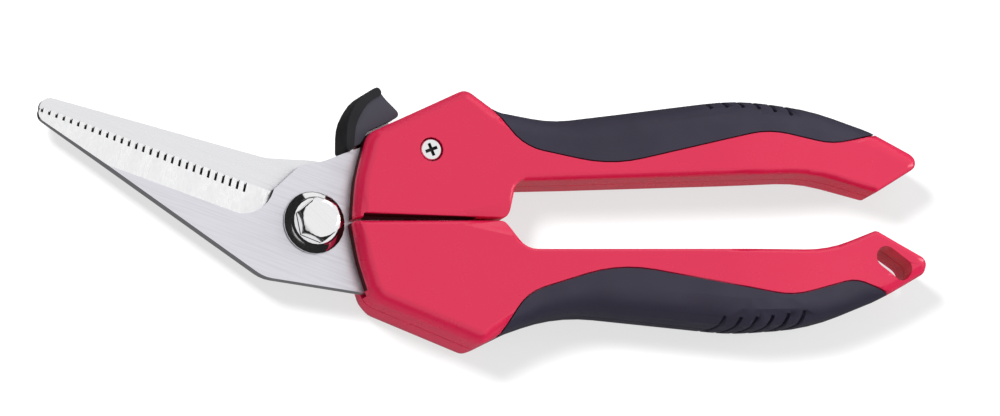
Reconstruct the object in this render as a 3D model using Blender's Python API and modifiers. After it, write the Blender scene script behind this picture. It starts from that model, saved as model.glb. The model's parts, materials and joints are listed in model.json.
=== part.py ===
"""Poultry shears with a serrated lower blade, moulded clamshell handles and a thumb lock.

The pivot's axis is the local Z of the empty "pivot_centre". Local +X runs to the handle ends, +Z to
the front, and Z = 0 is the plane in which the two blades slide on each other. Each handle is a pair
of half shells with soft grips moulded on, closed round the tang of one blade. The upper handle
carries the front, serrated blade and the lock lever, and the lower handle the back, plain blade.
"""

import math

import bmesh
import bpy
from mathutils import Matrix, Vector

MM = 0.001

# Overall reach, measured from the pivot
BLADE_REACH = 60.8 * MM
HANDLE_REACH = 140.8 * MM
HANDLE_DEPTH = 17.0 * MM
END_DEPTH = 11.0 * MM            # the handles thin down to this at their ends
HEAD_LENGTH = 44.7 * MM          # from the pivot to the finger gap between the handles
SHOULDER_X = 35.5 * MM           # where each handle's head is highest
UPPER_SHOULDER = 29.0 * MM
LOWER_SHOULDER = 27.6 * MM
UPPER_BULGE = 27.4 * MM          # height of the upper grip's fullest place
LOWER_BULGE = 23.9 * MM
UPPER_WALL = 8.5 * MM            # height of the finger gap's upper wall above the pivot
LOWER_WALL = 6.5 * MM            # depth of its lower wall below the pivot
END_SETBACK = 1.0 * MM           # the upper handle ends this much sooner than the lower one
TIP_LEAD = 2.5 * MM              # of a handle's sharp corner over its rounded end

# Running and seating clearances
FIT = 0.3 * MM                   # between pieces that are seated on each other
SWING_CLEARANCE = 0.6 * MM       # round pieces that sweep through a pocket
PARTING = 0.5 * MM               # between the two handles' heads when they are closed

# Blades
BLADE_THICKNESS = 2.6 * MM
EDGE_THICKNESS = 0.8 * MM        # left at the cutting edge by the grinding
BLADE_TIP_HEIGHT = 25.6 * MM     # of the cutting edges' far end above the pivot
HEEL_HEIGHT = 7.3 * MM           # of the serrated edge's near end above the pivot
HEEL_SETBACK = 8.6 * MM          # of that end in front of the pivot
EAR_X = 12.2 * MM                # the serrated blade's hidden corner, inside the lower handle
EAR_Y = 15.7 * MM
GRIND_WIDTH = 7.7 * MM           # across the ground face, and the radius of its end at the heel
TANG_LENGTH = 96.0 * MM
TANG_MARGIN = 3.4 * MM           # of plastic between a tang and the outside of its handle
TOOTH_COUNT = 29
TOOTH_PITCH = 1.72 * MM
TOOTH_WIDTH = 0.55 * MM
TOOTH_DEPTH_TIP = 1.2 * MM
TOOTH_DEPTH_HEEL = 2.4 * MM

# Pivot hardware: an M5 bolt and nut on turned washers, in a bush
BOLT_DIAMETER = 5.0 * MM
BOLT_HEAD_DIAMETER = 9.5 * MM
BOLT_HEAD_HEIGHT = 2.4 * MM
BUSH_DIAMETER = 7.0 * MM
NUT_ACROSS_FLATS = 8.5 * MM
NUT_HEIGHT = 3.6 * MM
WASHER_DIAMETER = 13.8 * MM
WASHER_HEIGHT = 1.9 * MM

# Moulded shells and grips
HEAD_ROUNDING = 2.6 * MM         # along the outer edges of the heads
NOSE_ROUNDING = 6.5 * MM         # along the heads' front edges, at the back
INNER_ROUNDING = 1.3 * MM        # along the walls of the finger gap
GRIP_ROUNDING = 6.4 * MM         # along the grips, where the fingers close round them
GRIP_THICKNESS = 1.8 * MM
GROOVE_COUNT = 6
GROOVE_PITCH = 3.7 * MM
GROOVE_WIDTH = 0.9 * MM
GROOVE_DEPTH = 0.9 * MM
GROOVE_SLANT = 12.0              # degrees
SLOT_LENGTH = 9.2 * MM           # of the lanyard slot in the lower handle's end
SLOT_WIDTH = 4.8 * MM
SLOT_TURN = -37.0                # degrees
FACET_START = 26.5 * MM          # where the facets along the parting line run out
FACET_WIDTH = 4.2 * MM           # of a facet at the finger gap
FACET_DROP = 1.3 * MM            # of its outer edge below the face, there

# Return spring, in facing pockets of the two heads
SPRING_X = 25.2 * MM
SPRING_DIAMETER = 7.4 * MM
SPRING_WIRE = 1.1 * MM
SPRING_TURNS = 7
SPRING_LENGTH = 17.0 * MM

# Thumb lock on the upper handle
LOCK_X = 26.2 * MM
LOCK_Y = 15.2 * MM
LOCK_THICKNESS = 2.2 * MM
LOCK_BUSH_DIAMETER = 5.6 * MM
LOCK_TRAVEL = 12.0               # degrees, from released to locked
BLADE_TRAVEL = 28.0              # degrees, from closed to open
PAD_WIDTH = 8.4 * MM             # of the thumb pad's rim, from front to back
PAD_RECESS = 0.6 * MM            # of its side faces below the rim
CATCH_HEIGHT = 6.8 * MM          # of the catch on the plain blade's tang above the pivot
CATCH_WIDTH = 2.6 * MM
CATCH_BARB = 2.6 * MM            # by which the catch overhangs the hook's tip when locked

# Screws
SCREW_DIAMETER = 3.0 * MM
SCREW_HEAD_DIAMETER = 4.8 * MM
SCREW_HEAD_HEIGHT = 1.9 * MM
SCREW_SINK = 0.5 * MM            # of each screw head below the shell's face
SCREW_RECESS = 0.8 * MM          # depth of the cross in a screw head
SCREW_COVER = 3.2 * MM           # of plastic in front of a handle screw's end
LOCK_NUT_FLATS = 5.5 * MM
LOCK_NUT_HEIGHT = 2.4 * MM
LOCK_NUT_DEPTH = 0.9 * MM        # of the lock screw's end from the back face
LOCK_ROOM_STEPS = 3              # outlines that make up the lever's room
BACK_EAR_REACH = 15.6 * MM       # swept by the plain blade's ear in the upper handle
PAD_CREST = 29.7 * MM            # height of the thumb pad above the pivot

BULGE_RADIUS = 2.2 * UPPER_BULGE  # of the long curves over the grips and along the finger gap

CHORD = 0.045 * MM               # by which an outline's straight steps may miss its curves
ARC_STEP = math.radians(15.0)    # largest turn of an outline between two of its points
GENTLE_TURN = 0.42               # sine of the turn below which a corner is a gentle bend
ROUNDING_STEPS = 4               # across each rounded edge
THINNING_STEPS = 9               # along a handle, from its full depth to its end
ROUND_SIDES = 28                 # of turned pieces
SMALL_SIDES = 16                 # of screws and their holes


def reach(share):
    """X of a place on the handles, from the finger gap (0) to the lower handle's end (1)."""
    return HEAD_LENGTH + share * (HANDLE_REACH - HEAD_LENGTH)


HANDLE_SCREWS = {
    "upper": [(HEAD_LENGTH + 0.7 * MM, UPPER_WALL + 6.6 * MM), (reach(0.52), UPPER_WALL + 5.6 * MM)],
    "lower": [
        (SHOULDER_X - 13.0 * MM, -LOWER_WALL - 7.8 * MM),
        (HEAD_LENGTH - 5.0 * MM, -LOWER_WALL - 6.6 * MM),
        (reach(0.52), -LOWER_WALL - 4.9 * MM),
    ],
}


def new_collection(name):
    collection = bpy.data.collections.new(name)
    bpy.context.scene.collection.children.link(collection)
    return collection


def make_material(name, colour, roughness, metallic):
    material = bpy.data.materials.new(name)
    material.use_nodes = True
    shader = material.node_tree.nodes["Principled BSDF"]
    shader.inputs["Base Color"].default_value = (*colour, 1.0)
    shader.inputs["Roughness"].default_value = roughness
    shader.inputs["Metallic"].default_value = metallic
    material.diffuse_color = (*colour, 1.0)
    return material


# Outlines. A corner is (x, y, fillet radius); outlines run anticlockwise.

def edge_directions(corners):
    """Unit direction of each edge, from its corner to the next."""
    count = len(corners)
    directions = []
    for index in range(count):
        start = Vector(corners[index][:2])
        end = Vector(corners[(index + 1) % count][:2])
        directions.append((end - start).normalized())
    return directions


def inset_corners(corners, amounts):
    """The outline with each edge moved inwards by its own amount, fillets following.

    At a gentle bend the two edges meet at the mean of their amounts.
    """
    count = len(corners)
    directions = edge_directions(corners)
    moved = []
    for index in range(count):
        before = directions[index - 1]
        after = directions[index]
        corner = Vector(corners[index][:2])
        normal_before = Vector((-before.y, before.x))
        normal_after = Vector((-after.y, after.x))
        turn = before.x * after.y - before.y * after.x
        mean = (amounts[index - 1] + amounts[index]) / 2
        if abs(turn) < GENTLE_TURN:
            middle = (normal_before + normal_after).normalized()
            x, y = corner + middle * mean / middle.dot(normal_before)
        else:
            wanted_before = normal_before.dot(corner) + amounts[index - 1]
            wanted_after = normal_after.dot(corner) + amounts[index]
            x = (wanted_before * normal_after.y - wanted_after * normal_before.y) / turn
            y = (normal_before.x * wanted_after - normal_after.x * wanted_before) / turn
        radius = corners[index][2]
        radius = radius - mean if turn > 0 else radius + mean
        moved.append((x, y, max(radius, 0.1 * MM)))
    return moved


def grown(corners, amount):
    """The outline with every edge moved outwards by one amount."""
    return inset_corners(corners, [-amount] * len(corners))


def fillets(corners):
    """Start, centre, turn and radius of each fillet, each kept within its two edges."""
    count = len(corners)
    directions = edge_directions(corners)
    turns = []
    tangents = []
    for index in range(count):
        turn = directions[index - 1].angle_signed(directions[index], 0.0)
        turns.append(-turn)
        tangents.append(corners[index][2] * math.tan(abs(turn) / 2))
    shares = [1.0] * count
    for index in range(count):
        after = (index + 1) % count
        length = (Vector(corners[after][:2]) - Vector(corners[index][:2])).length
        needed = tangents[index] + tangents[after]
        if needed > 0.98 * length:
            share = 0.98 * length / needed
            shares[index] = min(shares[index], share)
            shares[after] = min(shares[after], share)
    arcs = []
    for index in range(count):
        corner = Vector(corners[index][:2])
        before = directions[index - 1]
        radius = corners[index][2] * shares[index]
        start = corner - before * tangents[index] * shares[index]
        side = math.copysign(1.0, turns[index])
        centre = start + Vector((-before.y, before.x)) * radius * side
        arcs.append((start, centre, turns[index], radius))
    return arcs


def arc_steps(corners):
    """Number of straight steps in each fillet, more of them on a wide curve."""
    steps = []
    for start, centre, turn, radius in fillets(corners):
        if radius <= 0.0:
            steps.append(0)
            continue
        largest = min(ARC_STEP, math.sqrt(8 * CHORD / radius))
        steps.append(max(1, math.ceil(abs(turn) / largest)))
    return steps


def rounded_points(corners, steps=None):
    """Points of the outline, each fillet an arc in its given number of steps."""
    if steps is None:
        steps = arc_steps(corners)
    points = []
    for (start, centre, turn, radius), count in zip(fillets(corners), steps):
        if count == 0:
            points.append(start)
            continue
        for step in range(count + 1):
            spoke = start - centre
            spoke.rotate(Matrix.Rotation(turn * step / count, 2))
            points.append(centre + spoke)
    return points


def loft(name, sections, collection):
    """A closed solid through sections [(z, points)], listed from the lowest up."""
    mesh = bmesh.new()
    rings = []
    for z, points in sections:
        rings.append([mesh.verts.new((point[0], point[1], z)) for point in points])
    count = len(rings[0])
    for lower, upper in zip(rings, rings[1:]):
        for index in range(count):
            after = (index + 1) % count
            mesh.faces.new((lower[index], lower[after], upper[after], upper[index]))
    mesh.faces.new(list(reversed(rings[0])))
    mesh.faces.new(rings[-1])
    bmesh.ops.remove_doubles(mesh, verts=mesh.verts, dist=0.002 * MM)
    bmesh.ops.recalc_face_normals(mesh, faces=mesh.faces)
    return finish_mesh(name, mesh, collection)


def finish_mesh(name, mesh, collection):
    data = bpy.data.meshes.new(name)
    mesh.to_mesh(data)
    mesh.free()
    item = bpy.data.objects.new(name, data)
    collection.objects.link(item)
    return item


def plate(name, corners, low, high, collection):
    """A flat solid with a filleted outline, from z = low to z = high."""
    curve = bpy.data.curves.new(name, "CURVE")
    curve.dimensions = "2D"
    curve.fill_mode = "BOTH"
    curve.extrude = (high - low) / 2
    points = rounded_points(corners)
    spline = curve.splines.new("POLY")
    spline.points.add(len(points) - 1)
    for place, point in zip(spline.points, points):
        place.co = (point.x, point.y, 0.0, 1.0)
    spline.use_cyclic_u = True
    outline = bpy.data.objects.new(name, curve)
    collection.objects.link(outline)
    outline.location.z = (low + high) / 2
    return as_mesh(outline, collection)


def as_mesh(outline, collection):
    """A mesh object with a curve's shape and place; the curve is removed."""
    bpy.context.view_layer.update()
    evaluated = outline.evaluated_get(bpy.context.evaluated_depsgraph_get())
    data = bpy.data.meshes.new_from_object(evaluated)
    place = outline.matrix_world.copy()
    name = outline.name
    curve = outline.data
    bpy.data.objects.remove(outline)
    bpy.data.curves.remove(curve)
    mesh = bmesh.new()
    mesh.from_mesh(data)
    bmesh.ops.remove_doubles(mesh, verts=mesh.verts, dist=0.002 * MM)
    bmesh.ops.recalc_face_normals(mesh, faces=mesh.faces)
    bmesh.ops.transform(mesh, matrix=place, verts=mesh.verts)
    mesh.to_mesh(data)
    mesh.free()
    item = bpy.data.objects.new(name, data)
    collection.objects.link(item)
    return item


def rod(name, diameter, low, high, collection, place=(0.0, 0.0), sides=ROUND_SIDES, turn=0.0):
    """A cylinder along Z, or a prism with few sides."""
    mesh = bmesh.new()
    matrix = Matrix.Translation((*place, (low + high) / 2)) @ Matrix.Rotation(turn, 4, "Z")
    bmesh.ops.create_cone(
        mesh, cap_ends=True, segments=sides, radius1=diameter / 2, radius2=diameter / 2,
        depth=high - low, matrix=matrix,
    )
    return finish_mesh(name, mesh, collection)


def turned(name, profile, collection, place=(0.0, 0.0), steps=ROUND_SIDES):
    """A solid of revolution about Z; the profile runs down its outer side.

    A profile that starts off the axis is a ring's section and is closed up the bore.
    """
    data = bpy.data.meshes.new(name)
    edges = [(index, index + 1) for index in range(len(profile) - 1)]
    if profile[0][0] > 0.0:
        edges.append((len(profile) - 1, 0))
    data.from_pydata([(radius, 0.0, z) for radius, z in profile], edges, [])
    item = bpy.data.objects.new(name, data)
    item.location = (*place, 0.0)
    collection.objects.link(item)
    screw = item.modifiers.new("turn", "SCREW")
    screw.axis = "Z"
    screw.steps = steps
    screw.render_steps = steps
    screw.use_merge_vertices = True
    screw.merge_threshold = 0.01 * MM
    return item


def boolean(item, operation, *tools):
    """Cut, join or intersect an item with tools, which stay as hidden cutters."""
    for tool in tools:
        step = item.modifiers.new(tool.name, "BOOLEAN")
        step.operation = operation
        step.solver = "EXACT"
        step.object = tool
        tool.hide_render = True
        tool.display_type = "WIRE"


def settle(item):
    """Apply an item's modifiers, so that its mesh holds the finished shape."""
    bpy.context.view_layer.update()
    evaluated = item.evaluated_get(bpy.context.evaluated_depsgraph_get())
    data = bpy.data.meshes.new_from_object(evaluated)
    old = item.data
    item.modifiers.clear()
    item.data = data
    bpy.data.meshes.remove(old)
    return item


def upper_outline(nose=HEAD_ROUNDING):
    """Corners of the upper handle, with the edge rounding of each corner's next edge."""
    low = PARTING / 2
    end = HANDLE_REACH - END_SETBACK
    inner = INNER_ROUNDING
    rows = [
        (8.0 * MM, low, 0.6 * MM, inner),
        (HEAD_LENGTH - 1.3 * MM, low, 2.2 * MM, inner),
        (HEAD_LENGTH + 1.0 * MM, UPPER_WALL, 3.0 * MM, inner),
        (reach(0.16), UPPER_WALL + 0.3 * MM, BULGE_RADIUS, inner),
        (reach(0.737), UPPER_WALL + 1.9 * MM, 34 * MM, inner),
        (end - 10.0 * MM, UPPER_WALL - 2.2 * MM, 1.2 * MM, inner),
        (end + TIP_LEAD, UPPER_WALL + 5.0 * MM, 2.2 * MM, 0.60 * GRIP_ROUNDING),
        (end - 10.0 * MM, UPPER_BULGE - 7.2 * MM, 20 * MM, 0.66 * GRIP_ROUNDING),
        (reach(0.742), UPPER_BULGE - 2.4 * MM, 55 * MM, 0.88 * GRIP_ROUNDING),
        (reach(0.563), UPPER_BULGE, BULGE_RADIUS, GRIP_ROUNDING),
        (reach(0.268), UPPER_BULGE - 3.4 * MM, 40 * MM, GRIP_ROUNDING),
        (reach(0.11), UPPER_BULGE - 5.2 * MM, 30 * MM, 0.75 * GRIP_ROUNDING),
        (SHOULDER_X + 6.8 * MM, UPPER_SHOULDER - 4.6 * MM, 9 * MM, HEAD_ROUNDING),
        (SHOULDER_X, UPPER_SHOULDER, 2.9 * MM, HEAD_ROUNDING),
        (12.6 * MM, 19.2 * MM, 4.0 * MM, nose),
        (9.2 * MM, 9.0 * MM, 30 * MM, nose),
    ]
    return [row[:3] for row in rows], [row[3] for row in rows]


def lower_outline(nose=HEAD_ROUNDING):
    """Corners of the lower handle, with the edge rounding of each corner's next edge."""
    high = -PARTING / 2
    inner = INNER_ROUNDING
    rows = [
        (HEAD_LENGTH - 2.3 * MM, high, 2.0 * MM, inner),
        (7.7 * MM, high, 0.6 * MM, nose),
        (8.9 * MM, -9.0 * MM, 30 * MM, nose),
        (11.2 * MM, -17.5 * MM, 4.5 * MM, HEAD_ROUNDING),
        (SHOULDER_X, -LOWER_SHOULDER, 2.9 * MM, HEAD_ROUNDING),
        (SHOULDER_X + 9.0 * MM, 4.1 * MM - LOWER_SHOULDER, 10 * MM, 0.75 * GRIP_ROUNDING),
        (reach(0.126), 4.2 * MM - LOWER_BULGE, 40 * MM, GRIP_ROUNDING),
        (reach(0.542), -LOWER_BULGE, BULGE_RADIUS, 0.88 * GRIP_ROUNDING),
        (reach(0.732), 1.3 * MM - LOWER_BULGE, 50 * MM, 0.66 * GRIP_ROUNDING),
        (HANDLE_REACH - 9.4 * MM, 7.6 * MM - LOWER_BULGE, 20 * MM, 0.60 * GRIP_ROUNDING),
        (HANDLE_REACH + TIP_LEAD, -LOWER_WALL - 3.4 * MM, 2.2 * MM, inner),
        (HANDLE_REACH - 11.5 * MM, 4.4 * MM - LOWER_WALL, 1.2 * MM, inner),
        (reach(0.758), -LOWER_WALL, 30 * MM, inner),
        (HEAD_LENGTH + 2.2 * MM, -LOWER_WALL, 5.0 * MM, inner),
    ]
    return [row[:3] for row in rows], [row[3] for row in rows]


def upper_grip_line():
    """Corners of the area outside the upper grip's edge, running well past the handle."""
    far = 2 * UPPER_SHOULDER
    end = HANDLE_REACH - END_SETBACK - 8.4 * MM
    return [
        (SHOULDER_X + 4.0 * MM, far, 0.0),
        (SHOULDER_X + 4.0 * MM, UPPER_SHOULDER - 2.2 * MM, 2.0 * MM),
        (reach(0.026), UPPER_WALL + 7.3 * MM, 12 * MM),
        (reach(0.237), UPPER_WALL + 3.0 * MM, 35 * MM),
        (reach(0.626), UPPER_WALL + 11.2 * MM, 22 * MM),
        (reach(0.784), UPPER_WALL + 8.1 * MM, 18 * MM),
        (end, UPPER_WALL + 10.8 * MM, 1.0 * MM),
        (end, far, 0.0),
    ]


def lower_grip_line():
    """Corners of the area outside the lower grip's edge, running well past the handle."""
    far = -2 * LOWER_SHOULDER
    end = HANDLE_REACH - 5.2 * MM
    return [
        (end, far, 0.0),
        (end, -LOWER_WALL - 10.8 * MM, 1.0 * MM),
        (reach(0.816), -LOWER_WALL - 6.5 * MM, 8 * MM),
        (reach(0.658), -LOWER_WALL - 10.5 * MM, 20 * MM),
        (reach(0.242), -LOWER_WALL - 3.4 * MM, 35 * MM),
        (reach(0.014), -LOWER_WALL - 9.8 * MM, 12 * MM),
        (SHOULDER_X + 3.0 * MM, 0.4 * MM - LOWER_SHOULDER, 2.0 * MM),
        (SHOULDER_X + 3.0 * MM, far, 0.0),
    ]


def near_plate_outline():
    """The serrated blade, its ear round the pivot and its tang in the upper handle."""
    seat = SPRING_LENGTH / 2 + FIT
    notch = SPRING_DIAMETER / 2 + FIT + SWING_CLEARANCE
    wall = 2.4 * MM
    return [
        (-BLADE_REACH, BLADE_TIP_HEIGHT + 0.7 * MM, 1.3 * MM),
        (-BLADE_REACH + 0.2 * MM, BLADE_TIP_HEIGHT - 2.4 * MM, 2.0 * MM),
        (-12.0 * MM, -11.9 * MM, 8.0 * MM),
        (EAR_X, -EAR_Y, 1.5 * MM),
        (15.0 * MM, -2.0 * MM, 6.0 * MM),
        (15.4 * MM, wall, 1.2 * MM),
        (SPRING_X - notch, wall, 0.8 * MM),
        (SPRING_X - notch, seat, 1.0 * MM),
        (SPRING_X + notch, seat, 1.0 * MM),
        (SPRING_X + notch, wall, 0.8 * MM),
        (HEAD_LENGTH - 3.5 * MM, wall, 2.0 * MM),
        (HEAD_LENGTH + 2.3 * MM, UPPER_WALL + TANG_MARGIN, 6.0 * MM),
        (TANG_LENGTH, UPPER_WALL + TANG_MARGIN + 1.0 * MM, 1.5 * MM),
        (TANG_LENGTH, UPPER_BULGE - 8.2 * MM, 1.5 * MM),
        (reach(0.1), UPPER_BULGE - 10.8 * MM, 20 * MM),
        (SHOULDER_X + 3.6 * MM, UPPER_SHOULDER - 8.4 * MM, 5.0 * MM),
        (SHOULDER_X, UPPER_SHOULDER - 4.6 * MM, 3.0 * MM),
        (9.5 * MM, 15.9 * MM, 20 * MM),
        (3.0 * MM, 13.6 * MM, 10 * MM),
        (-2.3 * MM, 12.7 * MM, 2.0 * MM),
        (-HEEL_SETBACK, HEEL_HEIGHT, 1.2 * MM),
    ]


def far_plate_outline():
    """The plain blade, its ear, its tang in the lower handle and the catch of the lock."""
    seat = SPRING_LENGTH / 2 + FIT
    notch = SPRING_DIAMETER / 2 + FIT + SWING_CLEARANCE
    wall = 2.4 * MM
    stem = SPRING_X + notch
    return [
        (-BLADE_REACH + 0.3 * MM, BLADE_TIP_HEIGHT + 3.5 * MM, 2.6 * MM),
        (-BLADE_REACH + 1.0 * MM, BLADE_TIP_HEIGHT - 1.4 * MM, 1.0 * MM),
        (-9.0 * MM, HEEL_HEIGHT - 2.0 * MM, 3.0 * MM),
        (-11.0 * MM, -3.0 * MM, 6.0 * MM),
        (-8.0 * MM, -9.8 * MM, 7.0 * MM),
        (5.0 * MM, -12.8 * MM, 8.0 * MM),
        (13.0 * MM, -14.6 * MM, 10 * MM),
        (SHOULDER_X, 4.4 * MM - LOWER_SHOULDER, 3.0 * MM),
        (SHOULDER_X + 7.0 * MM, 8.4 * MM - LOWER_SHOULDER, 6.0 * MM),
        (reach(0.1), 8.6 * MM - LOWER_BULGE, 20 * MM),
        (TANG_LENGTH, 5.6 * MM - LOWER_BULGE, 1.5 * MM),
        (TANG_LENGTH, -LOWER_WALL - TANG_MARGIN - 1.2 * MM, 1.5 * MM),
        (HEAD_LENGTH + 2.0 * MM, -LOWER_WALL - TANG_MARGIN, 6.0 * MM),
        (HEAD_LENGTH - 3.5 * MM, -wall, 2.0 * MM),
        (stem + CATCH_WIDTH, -wall, 0.4 * MM),
        (stem + CATCH_WIDTH, CATCH_HEIGHT - 2.4 * MM, 0.3 * MM),
        (stem + CATCH_WIDTH + CATCH_BARB, CATCH_HEIGHT - 2.4 * MM, 0.3 * MM),
        (stem + CATCH_WIDTH + 0.3 * MM, CATCH_HEIGHT, 0.6 * MM),
        (stem, CATCH_HEIGHT, 0.6 * MM),
        (stem, -seat, 1.0 * MM),
        (SPRING_X - notch, -seat, 1.0 * MM),
        (SPRING_X - notch, -wall, 0.8 * MM),
        (15.0 * MM, -2.2 * MM, 1.0 * MM),
        (14.2 * MM, 4.0 * MM, 6.0 * MM),
        (10.0 * MM, 10.6 * MM, 6.0 * MM),
        (2.5 * MM, 14.3 * MM, 5.0 * MM),
        (-9.0 * MM, 14.9 * MM, 12 * MM),
    ]


def lever_outline():
    """The lock lever: a thumb arm, the boss round its screw and the hook at the catch."""
    tip = SPRING_X + SPRING_DIAMETER / 2 + FIT + SWING_CLEARANCE + CATCH_WIDTH + CATCH_BARB
    tip += SWING_CLEARANCE
    low = CATCH_HEIGHT - 3.2 * MM
    return [
        (tip, low, 0.4 * MM),
        (tip + 3.8 * MM, low, 1.2 * MM),
        (tip + 4.4 * MM, LOCK_Y - 2.2 * MM, 4.5 * MM),
        (LOCK_X + 5.0 * MM, LOCK_Y + 5.0 * MM, 4.0 * MM),
        (LOCK_X - 4.6 * MM, LOCK_Y + 6.6 * MM, 3.0 * MM),
        (LOCK_X - 13.2 * MM, LOCK_Y + 10.6 * MM, 2.0 * MM),
        (LOCK_X - 17.2 * MM, LOCK_Y + 5.4 * MM, 2.0 * MM),
        (LOCK_X - 12.0 * MM, LOCK_Y + 2.1 * MM, 3.0 * MM),
        (LOCK_X - 3.0 * MM, LOCK_Y - 4.9 * MM, 4.5 * MM),
        (tip - 2.4 * MM, LOCK_Y - 4.7 * MM, 2.0 * MM),
        (tip + 1.6 * MM, LOCK_Y - 8.0 * MM, 1.0 * MM),
        (tip + 1.6 * MM, CATCH_HEIGHT - 1.5 * MM, 0.5 * MM),
        (tip, CATCH_HEIGHT - 1.8 * MM, 0.3 * MM),
    ]


# Construction

def turned_about(item, centre, degrees):
    """Turn a cutter about an upright axis, in its mesh."""
    place = Matrix.Translation((*centre, 0.0))
    item.data.transform(place @ Matrix.Rotation(math.radians(degrees), 4, "Z") @ place.inverted())
    return item


def thin_down(slab):
    """Taper a handle's depth from its middle to its end, the same for every layer of it."""
    start = reach(0.50)
    run = HANDLE_REACH - start
    mesh = bmesh.new()
    mesh.from_mesh(slab.data)
    for step in range(THINNING_STEPS):
        place = Vector((start + run * step / THINNING_STEPS, 0.0, 0.0))
        every = mesh.verts[:] + mesh.edges[:] + mesh.faces[:]
        bmesh.ops.bisect_plane(mesh, geom=every, plane_co=place, plane_no=(1.0, 0.0, 0.0))
    for vertex in mesh.verts:
        share = min(max((vertex.co.x - start) / run, 0.0), 1.0)
        eased = share * share * (3 - 2 * share)
        if abs(vertex.co.z) > FIT:
            vertex.co.z *= 1 - eased * (1 - END_DEPTH / HANDLE_DEPTH)
    mesh.to_mesh(slab.data)
    mesh.free()


def rounded_slab(name, outline, roundings, base, face, collection):
    """A slab from z = base to z = face, with its own edge rounding round the face.

    All its sections have the same number of points, whatever the rounding leaves of a fillet.
    """
    sign = math.copysign(1.0, face)
    deepest = max(roundings)
    steps = arc_steps(outline)
    sections = [(base, rounded_points(outline, steps))]
    for step in range(ROUNDING_STEPS + 1):
        below = deepest * (1 - math.sin(math.pi / 2 * step / ROUNDING_STEPS))
        amounts = []
        for rounding in roundings:
            height = max(0.0, rounding - below)
            amounts.append(rounding - math.sqrt(rounding ** 2 - height ** 2))
        points = rounded_points(inset_corners(outline, amounts), steps)
        sections.append((face - sign * below, points))
    if sign < 0:
        sections.reverse()
    slab = loft(name, sections, collection)
    thin_down(slab)
    return slab


def half_handle(side, half, parts, cutters, materials):
    """One half shell of a handle and the soft grip moulded on it."""
    nose = HEAD_ROUNDING if half == "front" else NOSE_ROUNDING
    outline, roundings = upper_outline(nose) if side == "upper" else lower_outline(nose)
    line = upper_grip_line() if side == "upper" else lower_grip_line()
    sign = 1 if half == "front" else -1
    face = sign * HANDLE_DEPTH / 2
    name = side + "_" + half

    def core(label, skin):
        inner = inset_corners(outline, [skin] * len(outline))
        left = [max(0.4 * MM, rounding - skin) for rounding in roundings]
        return rounded_slab(name + label, inner, left, -face, face - sign * skin, cutters)

    shell = rounded_slab(name + "_shell", outline, roundings, sign * FIT / 2, face, parts)
    area = plate(name + "_grip_area", line, -HANDLE_DEPTH, HANDLE_DEPTH, cutters)
    boolean(area, "DIFFERENCE", core("_core", GRIP_THICKNESS))
    boolean(shell, "DIFFERENCE", area)
    cut_facet(shell, side, sign, cutters)

    grip = rounded_slab(name + "_grip", outline, roundings, sign * FIT / 2, face, parts)
    trimmed = inset_corners(line, [FIT] * len(line))
    trim = plate(name + "_grip_trim", trimmed, -HANDLE_DEPTH, HANDLE_DEPTH, cutters)
    boolean(grip, "INTERSECT", trim)
    boolean(grip, "DIFFERENCE", core("_core_fit", GRIP_THICKNESS - FIT))
    grooves = make_grooves(name, side, outline, cutters)
    boolean(grooves, "DIFFERENCE", core("_groove_floor", GROOVE_DEPTH))
    boolean(grip, "DIFFERENCE", grooves)
    paint(shell, materials["shell"])
    paint(grip, materials["grip"])
    return shell, grip


def make_grooves(name, side, outline, cutters):
    """The blades of one tool that cuts slanted grooves across the fullest place of a grip."""
    sign = 1 if side == "upper" else -1
    crest = max(sign * point.y for point in rounded_points(outline) if point.x > HEAD_LENGTH)
    mesh = bmesh.new()
    for index in range(GROOVE_COUNT):
        x = reach(0.575) + (index - (GROOVE_COUNT - 1) / 2) * GROOVE_PITCH
        size = Matrix.Diagonal((GROOVE_WIDTH, 12.0 * MM, 0.82 * HANDLE_DEPTH, 1.0))
        slant = Matrix.Rotation(math.radians(GROOVE_SLANT), 4, "Y")
        place = Matrix.Translation((x, sign * crest, 0.0))
        bmesh.ops.create_cube(mesh, size=1.0, matrix=place @ slant @ size)
    return finish_mesh(name + "_grooves", mesh, cutters)


def cut_facet(shell, side, sign, cutters):
    """A sloping facet along the parting line, which widens towards the finger gap."""
    up = 1 if side == "upper" else -1
    face = sign * HANDLE_DEPTH / 2
    start = Vector((FACET_START, up * PARTING / 2, face))
    end = Vector((HEAD_LENGTH, up * FACET_WIDTH, face))
    low = Vector((HEAD_LENGTH, up * PARTING / 2, face - sign * FACET_DROP))
    along = (end - start).normalized()
    normal = along.cross(low - start).normalized()
    if normal.z * sign < 0:
        normal = -normal
    across = along.cross(normal)
    if across.y * up > 0:
        across = -across
    length = 3 * (HEAD_LENGTH - FACET_START)
    size = (length, 2 * FACET_WIDTH, HEAD_ROUNDING)
    middle = start + across * size[1] / 2 + normal * size[2] / 2
    turn = Matrix((along, across, normal)).transposed().to_4x4()
    block = box_cutter(shell.name + "_facet", size, cutters)
    block.data.transform(Matrix.Translation(middle) @ turn)
    if turn.determinant() < 0:
        block.data.flip_normals()
    boolean(shell, "DIFFERENCE", block)


def paint(item, material):
    item.data.materials.clear()
    item.data.materials.append(material)


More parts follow.
